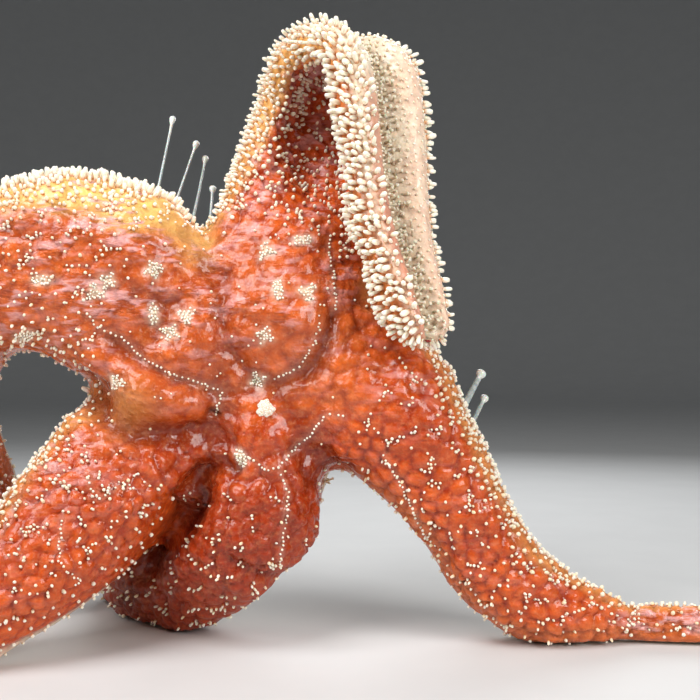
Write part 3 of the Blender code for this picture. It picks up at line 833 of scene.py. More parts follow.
def addLumps(mesh, skin, values):
    # the net: broad cells with a furrow round each, and small soft lumps inside them
    points, disc, side, back = (skin[key] for key in ("points", "disc", "side", "back"))
    warp = np.stack([waves(points, 9, seed) for seed in (5, 6, 7)], 1) * 1.4
    netSeeds = spread(points, values["netSpacing"] * (1 + 0.45 * skin["onDisc"]), 21)
    net = nearestFew(treeOf(points[netSeeds]), points + warp, 3)
    furrow = hill(net[:, 1] - net[:, 0], 1.1) * back
    lift = skin["lift"] - furrow * values["netDepth"]
    size = values["lumpSpacing"] * (1 + 0.2 * waves(points, 22, 8) + 0.25 * skin["onDisc"])
    size = np.maximum(size * np.where(side < 0.25, 0.75, 1.0), 1.6)
    lumpSeeds = spread(points, size, 22)
    near = nearestFew(treeOf(points[lumpSeeds]), points + warp * 0.12, 3)
    gap = (near[:, 1] - near[:, 0]) / size
    lump = 1 - (1 - np.clip(gap / 0.72, 0, 1)) ** 2.3
    calmer = np.maximum(skin["onDisc"] * smoothStep(40, 52, disc[:, 2]), skin["smooth"])
    strength = 1 - calmer * (0.5 + 0.35 * smoothStep(-0.5, 0.6, waves(points, 24, 9)))
    strength = strength * (0.25 + 0.75 * back) * (1 - 0.5 * skin["lying"])
    groove = hill(skin["at"]["across"], 2.7) * smoothStep(-0.1, -0.5, side)
    skin["groove"] = groove * smoothStep(5, 9, skin["at"]["travel"])
    lift += (lump - 0.55) * values["lumpHeight"] * strength * (1 - skin["groove"])
    points = points + skin["calm"] * lift[:, None]
    points[:, 2] = np.maximum(points[:, 2], 0.25)
    moveVertices(mesh, points)
    skin["points"], skin["net"], skin["lump"] = points, net, lump
    # painted shade in the gaps between the lumps and along the furrows
    skin["gaps"] = (1 - lump) ** 2 * values["gapShade"] + furrow * values["netShade"]


def markSkin(skin, values):
    # how much of each colour the skin has at every point, from 0 to 1
    at, edges, points, disc = (skin[key] for key in ("at", "edges", "points", "disc"))
    side, back, front, onDisc = (skin[key] for key in ("side", "back", "front", "onDisc"))
    arm, travel, across = at["arm"], at["travel"], at["across"]
    inside = at["half"] - np.abs(across)
    hollow = ((relax(points, edges, values["hollowRounds"]) - points) * skin["calm"]).sum(1)
    hollow = relax(hollow, edges, 4)
    # painted light and shade from the shape: ridges get the paler lump colour, hollows painted shade
    ridgeLight = smoothStep(0.1, 0.6, -hollow) * back
    shade = values["hollowShade"] * smoothStep(0.05, 0.55, hollow) * back * (arm != upperArm)
    crease = np.maximum(skin["crease"], shade)
    # patches of painted sheen, where the skin is also wetter
    patches = patchesAt(skin["plane"], values["sheenPatches"]) * back * (disc[:, 1] < 4)
    # yellow along the margins, in the web between two arms, on the left lobe and a little on the disc
    edgeTone = np.array([values["edgeYellow"][name] for name in armNames])[arm]
    edgeTone = np.where(across > 0, edgeTone[:, 0], edgeTone[:, 1])
    edgeTone = edgeTone * (1 - 0.6 * (arm == upperArm) * smoothStep(90, 104, travel))
    reach = np.array(values["yellowReach"])[arm] * (1 + 0.14 * waves(points, 12, 17))
    started = np.where(arm == leftArm, smoothStep(6, 26, travel), smoothStep(20, 36, travel))
    yellow = edgeTone * smoothStep(reach, reach * 0.35, inside) * started
    yellow = yellow * (1 - 0.3 * (arm == leftArm) * smoothStep(40, 26, travel))
    yellow = np.maximum(yellow, patchesAt(skin["plane"], values["yellowPatches"]) * front)
    yellow = yellow * smoothStep(-0.5, -0.1, side)
    warm = np.maximum(onDisc, arm == leftArm) * smoothStep(46, 56, disc[:, 2])
    yellow = np.maximum(yellow, values["discYellow"] * warm * back)
    # the hood is the inside of the upper arm's fold; its deep red is painted shade
    hoodShade, cloudRed, curlShade, lowShade = values["red"]
    hood = (arm == upperArm) * back * smoothStep(44, 58, travel) * smoothStep(98, 80, travel)
    hood = hood * smoothStep(2, 7, inside)
    # painted shade: deep red on the curled lower middle arm and low on the disc
    deep = np.where(arm == lowerMiddleArm, curlShade, 0) * smoothStep(18, 34, travel)
    deep = np.maximum(deep, lowShade * smoothStep(50, 40, disc[:, 2]) * smoothStep(36, 24, travel) * front)
    red = hood * hoodShade + cloudRed * smoothStep(0.2, 1.2, waves(points, 30, 13)) * back + deep
    # painted lilac sheen, for wet highlights on the wrinkles: high on the disc, at the right arm's end and
    # in the hood
    allOver, high, onLeft, inHood = values["paintedSheen"]
    sheen = smoothStep(56, 74, disc[:, 2]) * smoothStep(36, 20, disc[:, 0]) * back
    sheen = allOver + (high + onLeft * (arm == leftArm)) * sheen
    sheen = sheen * smoothStep(-0.7, 0.5, waves(points, 9, 14))
    armEndSheen = smoothStep(armLengths[rightArm] - 36, armLengths[rightArm] - 26, travel) * (arm == rightArm)
    tan = (arm == upperArm) * smoothStep(98, 112, travel) * smoothStep(1, -1, across)
    tan = tan * smoothStep(-0.4, -0.68, side) * (1 - skin["groove"])
    # no pale mouth side under the pocket's painted shade and shadow
    shaded = np.clip(3 * skin["shade"] + 3 * skin["pocketNear"], 0, 1)
    wet = np.maximum(onDisc, np.isin(arm, (upperArm, leftArm)) + 1.5 * patches)
    return {
        "lump": np.clip(skin["lump"] + 0.15 * ridgeLight, 0, 1),
        "crease": (1 - 0.8 * yellow) * np.clip(np.maximum(crease, skin["gaps"]) * back, 0, 1),
        "mouthSide": smoothStep(0.0, -0.28, side) * (1 - 0.55 * tan) * (1 - shaded),
        "wet": relax(wet, edges, 6).clip(0, 1),
        "yellow": np.clip(yellow, 0, 1),
        "red": np.clip(red, 0, 1),
        "paintedSheen": np.maximum(sheen, np.maximum(armEndSheen, patches)) * back + inHood * hood,
        "lime": limeMask(skin["plane"]) * front,
        "groove": skin["groove"],
        "rosy": 0.9 * (arm == upperArm) * smoothStep(118, 150, travel),
    }


def makeSkin(values):
    mesh = remeshFlesh(values)
    points, edges = meshArrays(mesh)
    points = relaxShape(points, edges, values["smoothing"])
    skin = {"points": points, "edges": edges, "at": locate(points)}
    findSides(mesh, skin)
    drawIn(mesh, skin, values)
    travel = skin["at"]["travel"]
    skin["disc"] = skin["points"] - stance
    skin["plane"] = skin["disc"][:, [0, 2]]
    skin["back"] = smoothStep(-0.05, 0.3, skin["side"])
    skin["front"] = smoothStep(0.0, -4.0, skin["disc"][:, 1]) * skin["back"] * (travel < 60)
    skin["onDisc"] = smoothStep(40, 24, travel)
    skin["lift"], skin["crease"] = np.zeros(len(points)), np.zeros(len(points))
    foldBack(skin)
    openPocket(skin, armPocket)
    swellBack(skin, values)
    addLumps(mesh, skin, values)
    mesh.shade_smooth()
    for name, field in markSkin(skin, values).items():
        setAttribute(mesh, name, relax(field, edges, 1, 0.5))
    mesh.materials.append(makeSkinMaterial(skinLook))
    addObject("skin", mesh, fleshNodes)
    return mesh, skin


skinMesh, skinFacts = makeSkin(skinShape)
print("skin ready:", len(skinMesh.vertices), "vertices")

# sieve plate, eyespots, mouth and the long tube feet that reach out from behind

# profiles are (radius, height) points as shares of the piece's own radius and height
smallParts = {
    "sides": {"plate": 64, "eye": 20, "mouth": 96, "foot": 12},
    "platePlace": (7.0, -18.0, 52.0),
    "plateRadius": 1.9,
    "plateHeight": 0.5,
    "plateProfile": (
        (0, 1.0), (0.25, 0.98), (0.5, 0.9), (0.7, 0.76), (0.85, 0.55), (0.95, 0.3), (1.0, 0.0), (0.95, -1.5),
        (0, -1.5),
    ),
    "plateLobes": ((0.1, 3, 1), (0.07, 5, 0), (0.06, 9, 0.5)),  # size, number round it, and turn
    "plateRays": (16, 0.07),  # number and height
    "eyeRadius": 0.75,
    "eyeProfile": ((0, 0.5), (0.35, 0.47), (0.65, 0.36), (0.88, 0.18), (1.0, -0.1), (0.9, -0.5), (0, -0.5)),
    "mouthRadius": 5.3,
    "mouthFolds": 20,
    "mouthProfile": (
        (0.12, -0.4), (0.1, 0.5), (0.2, 1.2), (0.34, 1.5), (0.5, 1.45), (0.68, 1.1), (0.85, 0.6), (1.0, 0.1),
        (1.04, -0.6),
    ),
    # of a long foot's sucker: radius, and how far back from the tip, both as shares of the foot's radius
    "cupProfile": ((0.8, 1.2), (1.5, 0.75), (1.75, 0.4), (1.65, 0.1), (1.3, 0.0), (0.7, 0.2), (0, 0.3)),
    "footRoot": 0.6,  # how deep in the skin a long foot starts
    "footStraight": 7,  # and how far it first goes straight out
    "footRings": (0.45, 0.07),  # their spacing, and how deep they are
    # a point near the root, the tip, the radius and how wide the sucker is
    "longFeet": {
        "tube_foot_1": ((-24, 14, 91), (-20, 28, 124.5), 0.48, 1.0),
        "tube_foot_2": ((-20.5, 14, 92), (-13.8, 27, 118), 0.48, 1.0),
        "tube_foot_3": ((-13.5, 14, 93), (-11.8, 29, 114.5), 0.48, 1.0),
        "tube_foot_4": ((-9, 14, 92), (-8.8, 20, 105.5), 0.55, 0.9),
        "tube_foot_5": ((49, 10, 46), (58.3, 22, 59.5), 1.15, 0.65),
        "tube_foot_6": ((51, 10, 40), (59.3, 23, 53.3), 0.85, 0.7),
    },
}
skinVertices = treeOf(skinFacts["points"])


def onSkin(near):
    # the skin's point next to a place, and the way out of the skin there
    index = skinVertices.find(near)[1]
    return skinFacts["points"][index], skinFacts["calm"][index]


platePlace, plateWay = onSkin(np.array(smallParts["platePlace"]) + stance)


def spun(profile, segments):
    # a closed round body about +Z from a line of (radius, height) points
    shape = bmesh.new()
    verts = [shape.verts.new((radius, 0, height)) for radius, height in profile]
    edges = [shape.edges.new(pair) for pair in zip(verts, verts[1:])]
    geometry = verts + edges
    turn = {"cent": (0, 0, 0), "axis": (0, 0, 1), "angle": 2 * math.pi}
    bmesh.ops.spin(shape, geom=geometry, steps=segments, use_merge=True, **turn)
    bmesh.ops.remove_doubles(shape, verts=shape.verts, dist=1e-5)
    bmesh.ops.recalc_face_normals(shape, faces=shape.faces)
    if shape.calc_volume(signed=True) < 0:
        bmesh.ops.reverse_faces(shape, faces=shape.faces)
    return shape


def finishPiece(name, shape, nodes, material, tips):
    mesh = bpy.data.meshes.new(name)
    bmesh.ops.scale(shape, vec=(mm, mm, mm), verts=shape.verts)
    shape.to_mesh(mesh)
    shape.free()
    mesh.shade_smooth()
    setAttribute(mesh, "tip", tips)
    setAttribute(mesh, "tone", np.zeros(len(mesh.vertices)))
    setAttribute(mesh, "pale", np.ones(len(mesh.vertices)))
    mesh.materials.append(material)
    return addObject(name, mesh, nodes)


def standOn(shape, place, way):
    turn = Vector(way).to_track_quat("Z", "Y").to_matrix().to_4x4()
    bmesh.ops.transform(shape, matrix=Matrix.Translation(place) @ turn, verts=shape.verts)


plateLook = {
    "pits": (0.72, 0.52, 0.34),
    "lime": (1.0, 0.95, 0.86),
    "stain": (0.9, 0.74, 0.52),
    "maze": (2600.0, 0.0002),  # scale and depth
    "grain": (2600.0, 3.0, 0.00004),
    "wet": (0.45, 0.4, 0.1, 0.0008),
}


def makePlateMaterial(look):
    material, tree, shader, place = newMaterial("sievePlateLime")
    mazeScale, mazeDepth = look["maze"]
    scale, detail, depth = look["grain"]
    maze = cellsOf(tree, place, mazeScale, "DISTANCE_TO_EDGE")
    fine = noiseOf(tree, place, scale, detail)
    colour = mixColours(tree, mapRange(tree, maze, 0.0, 0.2), look["pits"], look["lime"])
    colour = mixColours(tree, mapRange(tree, fine, 0.45, 0.75, 0.0, 0.2), colour, look["stain"])
    finishMaterial(tree, shader, colour, look["wet"], ((maze, mazeDepth), (fine, depth)))
    return material


def makePlate(values):
    radius, height = values["plateRadius"], values["plateHeight"]
    rays, rayHeight = values["plateRays"]
    shape = spun([(r * radius, h * height) for r, h in values["plateProfile"]], values["sides"]["plate"])
    for vert in shape.verts:
        angle = math.atan2(vert.co.y, vert.co.x)
        reach = math.hypot(vert.co.x, vert.co.y) / radius
        lobes = sum(size * math.cos(count * angle + turn) for size, count, turn in values["plateLobes"])
        vert.co.x *= 1 + lobes
        vert.co.y *= 1 + lobes
        if vert.co.z > 0:
            vert.co.z += rayHeight * math.cos(rays * angle + 4 * reach) * smoothStep(0.15, 0.5, reach)
    tips = [vert.co.z / height for vert in shape.verts]
    standOn(shape, platePlace, plateWay)
    finishPiece("sievePlate", shape, ["sieve_plate"], makePlateMaterial(plateLook), tips)


eyeLook = {
    "red": (0.5, 0.02, 0.015),
    "dark": (0.16, 0.005, 0.005),
    "cells": (4200.0, -0.00012),  # scale and depth
    "wet": (0.25, 0.8, 0.2, 0.0008),
}


def makeEyeMaterial(look):
    material, tree, shader, place = newMaterial("eyespotRed")
    scale, depth = look["cells"]
    cells = cellsOf(tree, place, scale)
    colour = mixColours(tree, mapRange(tree, cells, 0.2, 0.7), look["red"], look["dark"])
    finishMaterial(tree, shader, colour, look["wet"], ((cells, depth),))
    return material


def makeEyes(values):
    names = [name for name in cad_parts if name.startswith("eyespot_")]
    joined = bmesh.new()
    for name in names:
        place, way = onSkin(middleOf(name))
        shape = spun([(r * values["eyeRadius"], h) for r, h in values["eyeProfile"]], values["sides"]["eye"])
        standOn(shape, place, way)
        pourInto(joined, shape, name)
    count = len(joined.verts)
    finishPiece("eyespots", joined, names, makeEyeMaterial(eyeLook), np.ones(count))


# soft wet flesh: its two cloudy colours and their grain, then the tints along its height, each with the
# heights where it starts and is full, its strength and its colour
mouthLook = {
    "clouds": ((0.66, 0.42, 0.26), (0.86, 0.68, 0.48)),
    "grain": (1300.0, 4.0, 0.0001),
    "tints": ((0.5, 0.9, 1.0, (0.3, 0.09, 0.05)),),
    "wet": (0.3, 0.8, 0.3, 0.0015),
}
longFootLook = {
    "clouds": ((0.36, 0.42, 0.42), (0.55, 0.6, 0.58)),
    "grain": (1100.0, 3.0, 0.00008),
    "tints": ((0.9, 0.97, 1.0, (0.78, 0.8, 0.74)), (0.25, 0.0, 1.0, (0.62, 0.5, 0.38))),
    "wet": (0.22, 0.8, 0.35, 0.0012),
}
grooveFootLook = {
    "clouds": ((0.6, 0.49, 0.34), (0.76, 0.66, 0.5)),
    "grain": (1400.0, 3.0, 0.00008),
    "tints": ((0.6, 0.95, 0.7, (0.82, 0.74, 0.58)),),
    "wet": (0.3, 0.5, 0.3, 0.0015),
}


def makeSoftMaterial(name, look):
    material, tree, shader, place = newMaterial(name)
    scale, detail, depth = look["grain"]
    fine = noiseOf(tree, place, scale, detail)
    colour = mixColours(tree, mapRange(tree, fine, 0.3, 0.7), *look["clouds"])
    for start, full, strength, tint in look["tints"]:
        share = mapRange(tree, readAttribute(tree, "tip"), start, full, 0.0, strength)
        colour = mixColours(tree, share, colour, tint)
    finishMaterial(tree, shader, colour, look["wet"], ((fine, depth),))
    return material


def makeMouth(values):
    # a puckered ring of thin skin in the disc's hollow
    radius, profile = values["mouthRadius"], values["mouthProfile"]
    middle = middleOf("mouth")
    place, _ = onSkin(middle - (0, 4, 0))
    shape = spun([(r * radius, h) for r, h in profile + profile[:1]], values["sides"]["mouth"])
    for vert in shape.verts:
        angle = math.atan2(vert.co.y, vert.co.x)
        reach = math.hypot(vert.co.x, vert.co.y) / radius
        fold = math.cos(values["mouthFolds"] * angle + 1.2 * math.sin(5 * angle))
        if vert.co.z > 0:
            vert.co.z += 0.22 * fold * (1 - reach) + 0.12 * math.cos(5 * angle)
            pull = 1 + 0.1 * fold * (1 - reach)
            vert.co.x *= pull
            vert.co.y *= pull
    tips = [1 - math.hypot(vert.co.x, vert.co.y) / radius for vert in shape.verts]
    standOn(shape, (middle[0], place[1], middle[2]), (0, 1, 0))
    finishPiece("mouthRing", shape, ["mouth"], makeSoftMaterial("mouthSkin", mouthLook), tips)


def footProfile(radius, length, widen, values):
    # a ringed stalk that narrows from its root, and a cupped sucker at the end
    profile = [(0, 0), (1.5, 0)]
    gap, deep = values["footRings"]
    steps = int(length / gap)
    for step in range(1, steps):
        share = step / steps
        ring = 1 + deep * math.cos(step * math.pi)
        profile.append(((1.5 - 0.9 * share**0.5) * ring, share * (1 - 1.5 / length)))
    profile += [(wide * widen, 1 - back / length) for wide, back in values["cupProfile"]]
    return [(r * radius, h) for r, h in profile]


def makeLongFeet(values):
    # each stalk leaves the skin straight out, and bends towards its tip
    joined = bmesh.new()
    tips = []
    for name, (near, tip, radius, widen) in values["longFeet"].items():
        root, way = onSkin(np.array(near) + stance)
        root = root - way * values["footRoot"]
        out, end = root + way * values["footStraight"], np.array(tip) + stance
        profile = footProfile(radius, np.linalg.norm(end - root), widen, values)
        shape = spun(profile, values["sides"]["foot"])
        for vert in shape.verts:
            share = vert.co.z
            first, second = root * (1 - share) + out * share, out * (1 - share) + end * share
            middle = first * (1 - share) + second * share
            along = Vector((out - root) * (1 - share) + (end - out) * share).normalized()
            side = along.cross(Vector((0.3, 0.2, 0.9))).normalized()
            other = along.cross(side)
            tips.append(share)
            vert.co = Vector(middle) + side * vert.co.x + other * vert.co.y
        bmesh.ops.recalc_face_normals(shape, faces=shape.faces)
        pourInto(joined, shape, name)
    material = makeSoftMaterial("clearFoot", longFootLook)
    finishPiece("longTubeFeet", joined, list(values["longFeet"]), material, tips)


makePlate(smallParts)
makeEyes(smallParts)
makeMouth(smallParts)
makeLongFeet(smallParts)
print("small parts ready")

# the coat: lime spines on the back, along the margins and on the mouth side

coat = {
    "samples": 480000,
    "patch": 0.0015,  # half-width of a spine's place on the bake map
    "pieceTriangles": 190000,
    "clearOfPlate": 0.5,
    "clearOfFloor": 0.05,
    "heightSpread": (0.75, 1.2),
    # how full the margins are on the two sides of an arm: right and left of its line, seen from its back
    "marginFullness": {
        "upper": (1, 1),
        "left": (1, 0.15),
        "lowerLeft": (0.9, 0.12),
        "lowerMiddle": (0.05, 0.1),
        "right": (0.1, 0.9),
    },
    "marginBand": (-0.42, 0.16),  # from the mouth side to the back, where the margin is sparse
    "marginSpacing": (3.4, 1.32),  # sparse to dense
    "marginRadius": (0.38, 0.53),
    # height where they are sparse, and on each arm where they are dense
    "marginLow": 0.6,
    "marginHeight": {"upper": 2.1, "left": 2.5, "lowerLeft": 1.2, "lowerMiddle": 0.8, "right": 1.1},
    "singleSpacing": (3.1, 3.4, 2.2),  # on the arms, what the disc adds to it, and in the hood
    # spacing, radius and height, and what the disc adds to them, or the folded flap on the mouth side
    "sizes": {
        "chain": ((1.0, 0.3, 0.8), (-0.15, -0.04, -0.3)),
        "knot": ((0.85, 0.33, 0.9), (0, -0.05, -0.3)),
        "strut": ((0.72, 0.28, 0.5), (0, 0, 0)),
        "bunch": ((0.47, 0.26, 0.62), (0, 0, 0)),
        "mouthSide": ((1.95, 0.48, 1.25), (-0.35, -0.18, -0.95)),
        "groove": ((1.2, 0.28, 1.9), (0.2, 0, -1.15)),
        "foot": ((1.45, 0.42, 1.8), (0, 0, 0)),
    },
    # on the mouth side: from and to, across from the groove's line, and from where along the arm
    "zones": {"mouthSide": (4.4, math.inf, 12), "groove": (2.6, 3.9, 7), "foot": (0.3, 2.2, 9)},
}
# how each kind of spine and foot grows: its seed, how far it leans at random and outwards, its tone from
# and to, where 0 is the palest, how pale its root is, and how much the widths vary
spineKinds = {
    "margin": (1, 0.2, 0.3, (0, 0.15), 0.4, 0.26),
    "single": (2, 0.12, 0, (0.1, 0.8), 0, 0.18),
    "chain": (3, 0.12, 0, (0, 0.7), 0, 0.18),
    "knot": (4, 0.15, 0, (0, 0.5), 0, 0.18),
    "strut": (5, 0.1, 0, (0, 0.4), 0, 0.18),
    "bunch": (6, 0.25, 0, (0, 0.1), 1, 0.18),
    "mouthSide": (7, 0.2, 0.15, (0, 0.6), 1, 0.18),
    "groove": (8, 0.18, -0.15, (0.2, 0.8), 1, 0.18),
    "foot": (9, 0.35, 0, (0, 1.0), 1, 0.18),
}
# their shapes: (radius, height) points from 0 at the skin to 1 at the tip, and the sides
spineShapes = {
    "blunt": ([(0, -0.35), (0.8, -0.2), (0.86, 0.25), (1.0, 0.62), (0.72, 0.92), (0, 1.0)], 7),
    "bead": ([(0, -0.4), (0.85, -0.25), (1.0, 0.4), (0.68, 0.88), (0, 1.0)], 6),
    "slender": ([(0, -0.25), (1.0, -0.1), (0.95, 0.5), (0.6, 0.92), (0, 1.0)], 6),
    "sucker": ([(0, -0.3), (0.8, -0.1), (0.62, 0.7), (1.0, 0.88), (0.9, 0.97), (0, 1.0)], 7),
}


def sampleSkin(mesh, facts, count):
    # random points all over the skin, with its fields read at each
    mesh.calc_loop_triangles()
    corners = np.empty(len(mesh.loop_triangles) * 3, dtype=np.int32)
    mesh.loop_triangles.foreach_get("vertices", corners)
    corners = corners.reshape(-1, 3)
    a, b, c = (facts["points"][corners[:, k]] for k in range(3))
    area = np.linalg.norm(np.cross(b - a, c - a), axis=1)
    pick = corners[chance.choice(len(corners), count, p=area / area.sum())]
    root = np.sqrt(chance.random(count))
    share = chance.random(count)
    weights = np.stack([1 - root, root * (1 - share), root * share], 1)

    def read(values):
        weight = weights if values.ndim == 1 else weights[..., None]
        return (values[pick] * weight).sum(1)

    at = facts["at"]
    out = {"place": read(facts["points"]), "normal": unit(read(facts["calm"])), "arm": at["arm"][pick[:, 0]]}
    for key in ("side", "groove", "pocket"):
        out[key] = read(facts[key])
    for key in ("travel", "across", "up", "half"):
        out[key] = read(at[key])
    out["rows"] = read(facts["net"])
    out["right"] = at["right"][pick[:, 0]]
    return out


def growSpines(kind, keep, spacing, radius, height, warmer=0.0):
    # thins the kept samples to the spacing, and gives each spine its size, lean and tone
    seed, lean, outward, tone, pale, vary = spineKinds[kind]
    floorGap = coat["clearOfFloor"]

    def at(values, index):
        return np.broadcast_to(values, len(keep))[index]

    kept = np.flatnonzero(keep)
    chosen = kept[spread(pool["place"][kept], at(spacing, kept), 40 + seed)]
    dice = np.random.default_rng(500 + seed)
    count = len(chosen)
    table = {key: pool[key][chosen] for key in ("place", "arm", "travel", "across", "up")}
    outwards = np.sign(table["across"])[:, None] * pool["right"][chosen]
    table["way"] = unit(pool["normal"][chosen] + outwards * outward + dice.normal(size=(count, 3)) * lean)
    table["radius"] = at(radius, chosen) * dice.uniform(1 - vary, 1 + vary, count)
    table["height"] = at(height, chosen) * dice.uniform(*coat["heightSpread"], count)
    table["tone"] = np.clip(dice.uniform(*tone, count) + at(warmer, chosen), 0, 1)
    table["pale"] = np.full(count, float(pale))
    table["spin"] = dice.normal(size=(count, 3))
    tipHeight = table["place"][:, 2] + table["way"][:, 2] * table["height"] - table["radius"]
    standing = (tipHeight > floorGap) & (table["place"][:, 2] > table["radius"] + floorGap)
    return {key: values[standing] for key, values in table.items()}


def growKind(kind, keep, share):
    # share is how much of what the table adds each sample gets
    plain, extra = coat["sizes"][kind]
    return growSpines(kind, keep, *(one + other * share for one, other in zip(plain, extra)))


def growUnder(kind, keep):
    # in its own zone beside the groove
    near, far, start = coat["zones"][kind]
    keep = keep & (pool["away"] > near) & (pool["away"] < far) & (pool["travel"] > start)
    return growKind(kind, keep, pool["flap"])


def spunTemplate(profile, segments):
    # a closed round body about +Z with its flat map: the root at the rim, the tip at the middle
    shape = spun(profile, segments)
    shape.verts.index_update()
    foot, rim = profile[0][1], profile[1][1]
    loops, starts, flat = [], [], []
    # spin gives the faces and their corners in another order each run, so they are sorted
    for face in sorted(shape.faces, key=lambda face: sorted(vert.index for vert in face.verts)):
        starts.append(len(loops))
        middle = face.calc_center_median()
        verts = list(face.verts)
        first = verts.index(min(verts, key=lambda vert: vert.index))
        for vert in verts[first:] + verts[:first]:
            loops.append(vert.index)
            if vert.co.z < foot + 1e-6:
                way, reach = Vector((middle.x, middle.y)).normalized(), 1.0
            else:
                way = Vector((vert.co.x, vert.co.y))
                way = way.normalized() if way.length > 1e-6 else Vector((0, 0))
                reach = 0.8 * (1 - (vert.co.z - rim) / (1 - rim)) if vert.co.z < 1 - 1e-6 else 0
            flat.append((way.x * reach, way.y * reach))
    corners = np.array([vert.co[:] for vert in shape.verts])
    triangles = sum(len(face.verts) - 2 for face in shape.faces)
    shape.free()
    arrays = {"loops": np.array(loops), "starts": np.array(starts), "flat": np.array(flat)}
    return {"corners": corners, "triangles": triangles, **arrays}


def bakePlace(table):
    # the skin unrolled: along each arm, and round it, one strip for each arm
    length = np.array([armLengths[arm] for arm in table["arm"]])
    turn = np.arctan2(table["up"], table["across"]) / (2 * math.pi) + 0.5
    u = 0.01 + 0.98 * np.clip(table["travel"] / length, 0, 1)
    v = (table["arm"] + 0.02 + 0.96 * turn) / len(armNames)
    return np.stack([u, v], 1)


def meshFromCopies(name, template, table):
    count, corners = len(table["place"]), template["corners"]
    side = unit(np.cross(table["way"], table["spin"]))
    other = np.cross(table["way"], side)
    tall = corners[None, :, 2:] * table["height"][:, None, None]
    points = table["place"][:, None] + table["way"][:, None] * tall
    wide = corners[None, :, :2] * table["radius"][:, None, None]
    points = points + wide[..., :1] * side[:, None] + wide[..., 1:] * other[:, None]
    steps = np.arange(count)[:, None]
    mesh = bpy.data.meshes.new(name)
    mesh.vertices.add(count * len(corners))
    mesh.vertices.foreach_set("co", (points * mm).ravel())
    mesh.loops.add(count * len(template["loops"]))
    corner = template["loops"][None] + steps * len(corners)
    mesh.loops.foreach_set("vertex_index", corner.ravel())
    mesh.polygons.add(count * len(template["starts"]))
    start = template["starts"][None] + steps * len(template["loops"])
    mesh.polygons.foreach_set("loop_start", start.ravel())
    mesh.update(calc_edges=True)
    mesh.shade_smooth()
    bakeMap = mesh.uv_layers.new(name="OFBake")
    flat = bakePlace(table)[:, None] + template["flat"][None] * coat["patch"]
    bakeMap.data.foreach_set("uv", flat.ravel())
    setAttribute(mesh, "tip", np.tile(corners[:, 2], count))
    setAttribute(mesh, "tone", np.repeat(table["tone"], len(corners)))
    setAttribute(mesh, "pale", np.repeat(table["pale"], len(corners)))
    return mesh


def plantCopies(name, form, table, material):
    # joined meshes of all the copies, as many as the size of a piece needs, each over the whole animal
    template = spunTemplate(*spineShapes[form])
    most = coat["pieceTriangles"] // template["triangles"]
    pieces = -(-len(table["place"]) // most)
    for part in range(pieces):
        chosen = {key: values[part::pieces] for key, values in table.items()}
        title = name if pieces == 1 else f"{name}{part + 1}"
        mesh = meshFromCopies(title, template, chosen)
        mesh.materials.append(material)
        addObject(title, mesh)
        count = len(chosen["place"])
        print(title, count, "copies,", count * template["triangles"], "triangles")


pool = sampleSkin(skinMesh, skinFacts, coat["samples"])


def survey(values):
    # adds what the coat depends on at each sample
    side, travel, arm = pool["side"], pool["travel"], pool["arm"]
    disc = pool["place"] - stance
    share = smoothStep(-0.6, 0.6, pool["across"] / pool["half"])
    fullness = np.array([values["marginFullness"][name] for name in armNames])
    full = fullness[arm, 1] * (1 - share) + fullness[arm, 0] * share
    full = full * smoothStep(20, 34, travel)
    back = side > 0.3
    flap = (arm == upperArm) * smoothStep(78, 100, travel)
    # a broad band along the near edge of the folded flap
    nearEdge = flap * smoothStep(1.0, -1.0, pool["across"])
    toPlate = np.linalg.norm(pool["place"] - platePlace, axis=1)
    clear = (toPlate > smallParts["plateRadius"] + values["clearOfPlate"]) & (pool["pocket"] < 0.3)
    low, high = values["marginBand"]
    low = low - 0.3 * nearEdge
    high = high + 0.24 * full + 0.2 * nearEdge + 0.25 * full * (arm == lowerLeftArm)
    margin = (side > low) & (side < high) & (travel > 15) & clear
    pool["plane"], pool["away"] = disc[:, [0, 2]], np.abs(pool["across"])
    pool["front"] = back & (disc[:, 1] < 0) & clear
    pool["bare"] = back & clear & ~margin
    pool["hood"] = (arm == upperArm) & back & (travel > 32) & (travel < 100)
    pool["onDisc"] = smoothStep(42, 26, travel)
    pool.update({"full": full, "flap": flap, "nearEdge": nearEdge, "margin": margin})


def growMargins(values):
    # blunt spines that stand well out
    arm, full, nearEdge = pool["arm"], pool["full"], pool["nearEdge"]
    sparse, dense = values["marginSpacing"]
    spacing = sparse + (dense - sparse) * full
    spacing = spacing * (1 - 0.14 * (arm == upperArm) * smoothStep(45, 60, pool["travel"]))
    spacing = spacing * (1 + 0.03 * nearEdge + 0.1 * (arm == leftArm))
    spacing = spacing * (1 + 0.12 * waves(pool["place"], 6, 53))
    slim, thick = values["marginRadius"]
    rim = (arm == upperArm) * smoothStep(1, -1, pool["across"]) * (1 - nearEdge)
    inner = smoothStep(0.1, 0.4, pool["side"])
    radius = (slim + (thick - slim) * full + 0.03 * nearEdge - 0.11 * rim) * (1 - 0.18 * inner)
    low, tall = values["marginLow"], np.array([values["marginHeight"][name] for name in armNames])[arm]
    height = (low + (tall + 0.45 * nearEdge - 0.4 * rim - low) * full) * (1 - 0.5 * inner)
    return growSpines("margin", pool["margin"], spacing, radius, height)


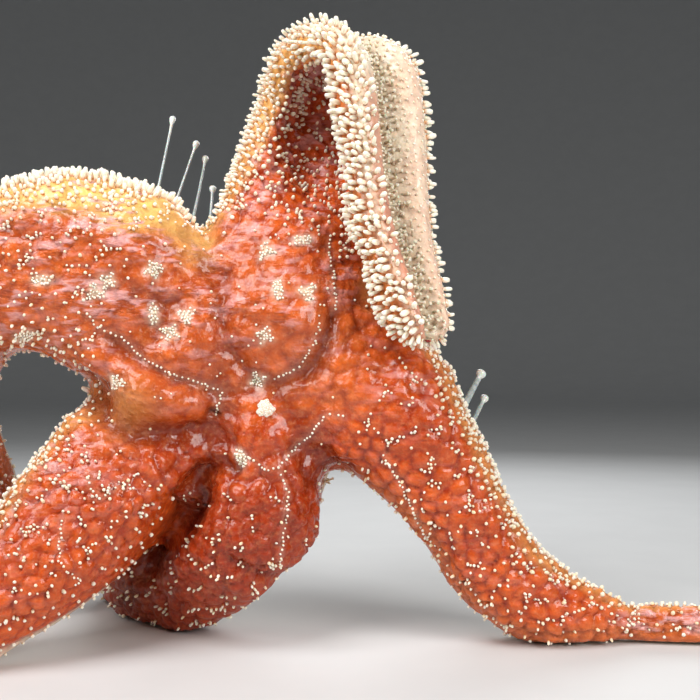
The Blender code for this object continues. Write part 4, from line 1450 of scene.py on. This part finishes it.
def growBack():
    # single spines, rows of small ones along the struts, and bunches where rows meet
    place, arm, bare, onDisc, hood = (pool[key] for key in ("place", "arm", "bare", "onDisc", "hood"))
    rowGap = pool["rows"][:, 1] - pool["rows"][:, 0]
    nodeGap = pool["rows"][:, 2] - pool["rows"][:, 0]
    lower = np.isin(arm, (lowerLeftArm, lowerMiddleArm, rightArm))
    band = smoothStep(13, 5, pool["half"] - pool["away"]) * pool["full"]
    plain, more, inHood = coat["singleSpacing"]
    spacing = np.where(hood, inHood, plain + more * onDisc) * (1 + 0.3 * waves(place, 9, 51))
    spacing = np.clip(spacing * (1 - 0.45 * band) * np.where(arm == leftArm, 0.82, 1), 1.5, None)
    spacing = spacing * np.where(lower & (band < 0.3), 1.45 + 0.5 * (arm == lowerMiddleArm), 1.0)
    radius = 0.35 - 0.05 * onDisc + 0.14 * band + 0.04 * hood
    singles = growSpines("single", bare, spacing, radius, 1.0 - 0.35 * onDisc, 0.35 * lower)
    broken = waves(place, 12, 52) > -0.5 + 0.85 * onDisc + 0.7 * hood + 0.75 * (arm == lowerMiddleArm)
    rows = bare & (rowGap < 0.3) & broken
    chains = growKind("chain", rows, onDisc)
    dice = np.random.default_rng(31).random(len(place))
    meetings = bare & (nodeGap < 1.1) & (dice < 0.5) & (onDisc < 0.6)
    knots = growKind("knot", meetings, onDisc)
    struts = growKind("strut", pool["front"] & (rowReach(pool["plane"]) < 0.24), onDisc)
    bunched = growKind("bunch", pool["front"] & (bunchReach(pool["plane"]) < 1.45), onDisc)
    return joinTables([singles, chains, knots, struts, bunched])


def plantCoat(values):
    survey(values)
    side = pool["side"]
    lime = makeSpineMaterial(spineLook)
    plantCopies("marginSpines", "blunt", growMargins(values), lime)
    plantCopies("backSpines", "bead", growBack(), lime)
    # mouth side: blunt cream spines, slender ones in rows along the groove, and tube feet in it
    below = growUnder("mouthSide", (side <= -0.62 + 0.24 * pool["flap"]) & ~pool["margin"])
    plantCopies("mouthSideSpines", "blunt", below, lime)
    plantCopies("grooveSpines", "slender", growUnder("groove", side < -0.2), lime)
    flesh = makeSoftMaterial("tubeFootFlesh", grooveFootLook)
    plantCopies("grooveFeet", "sucker", growUnder("foot", side < -0.2), flesh)


plantCoat(coat)
print("coat ready")
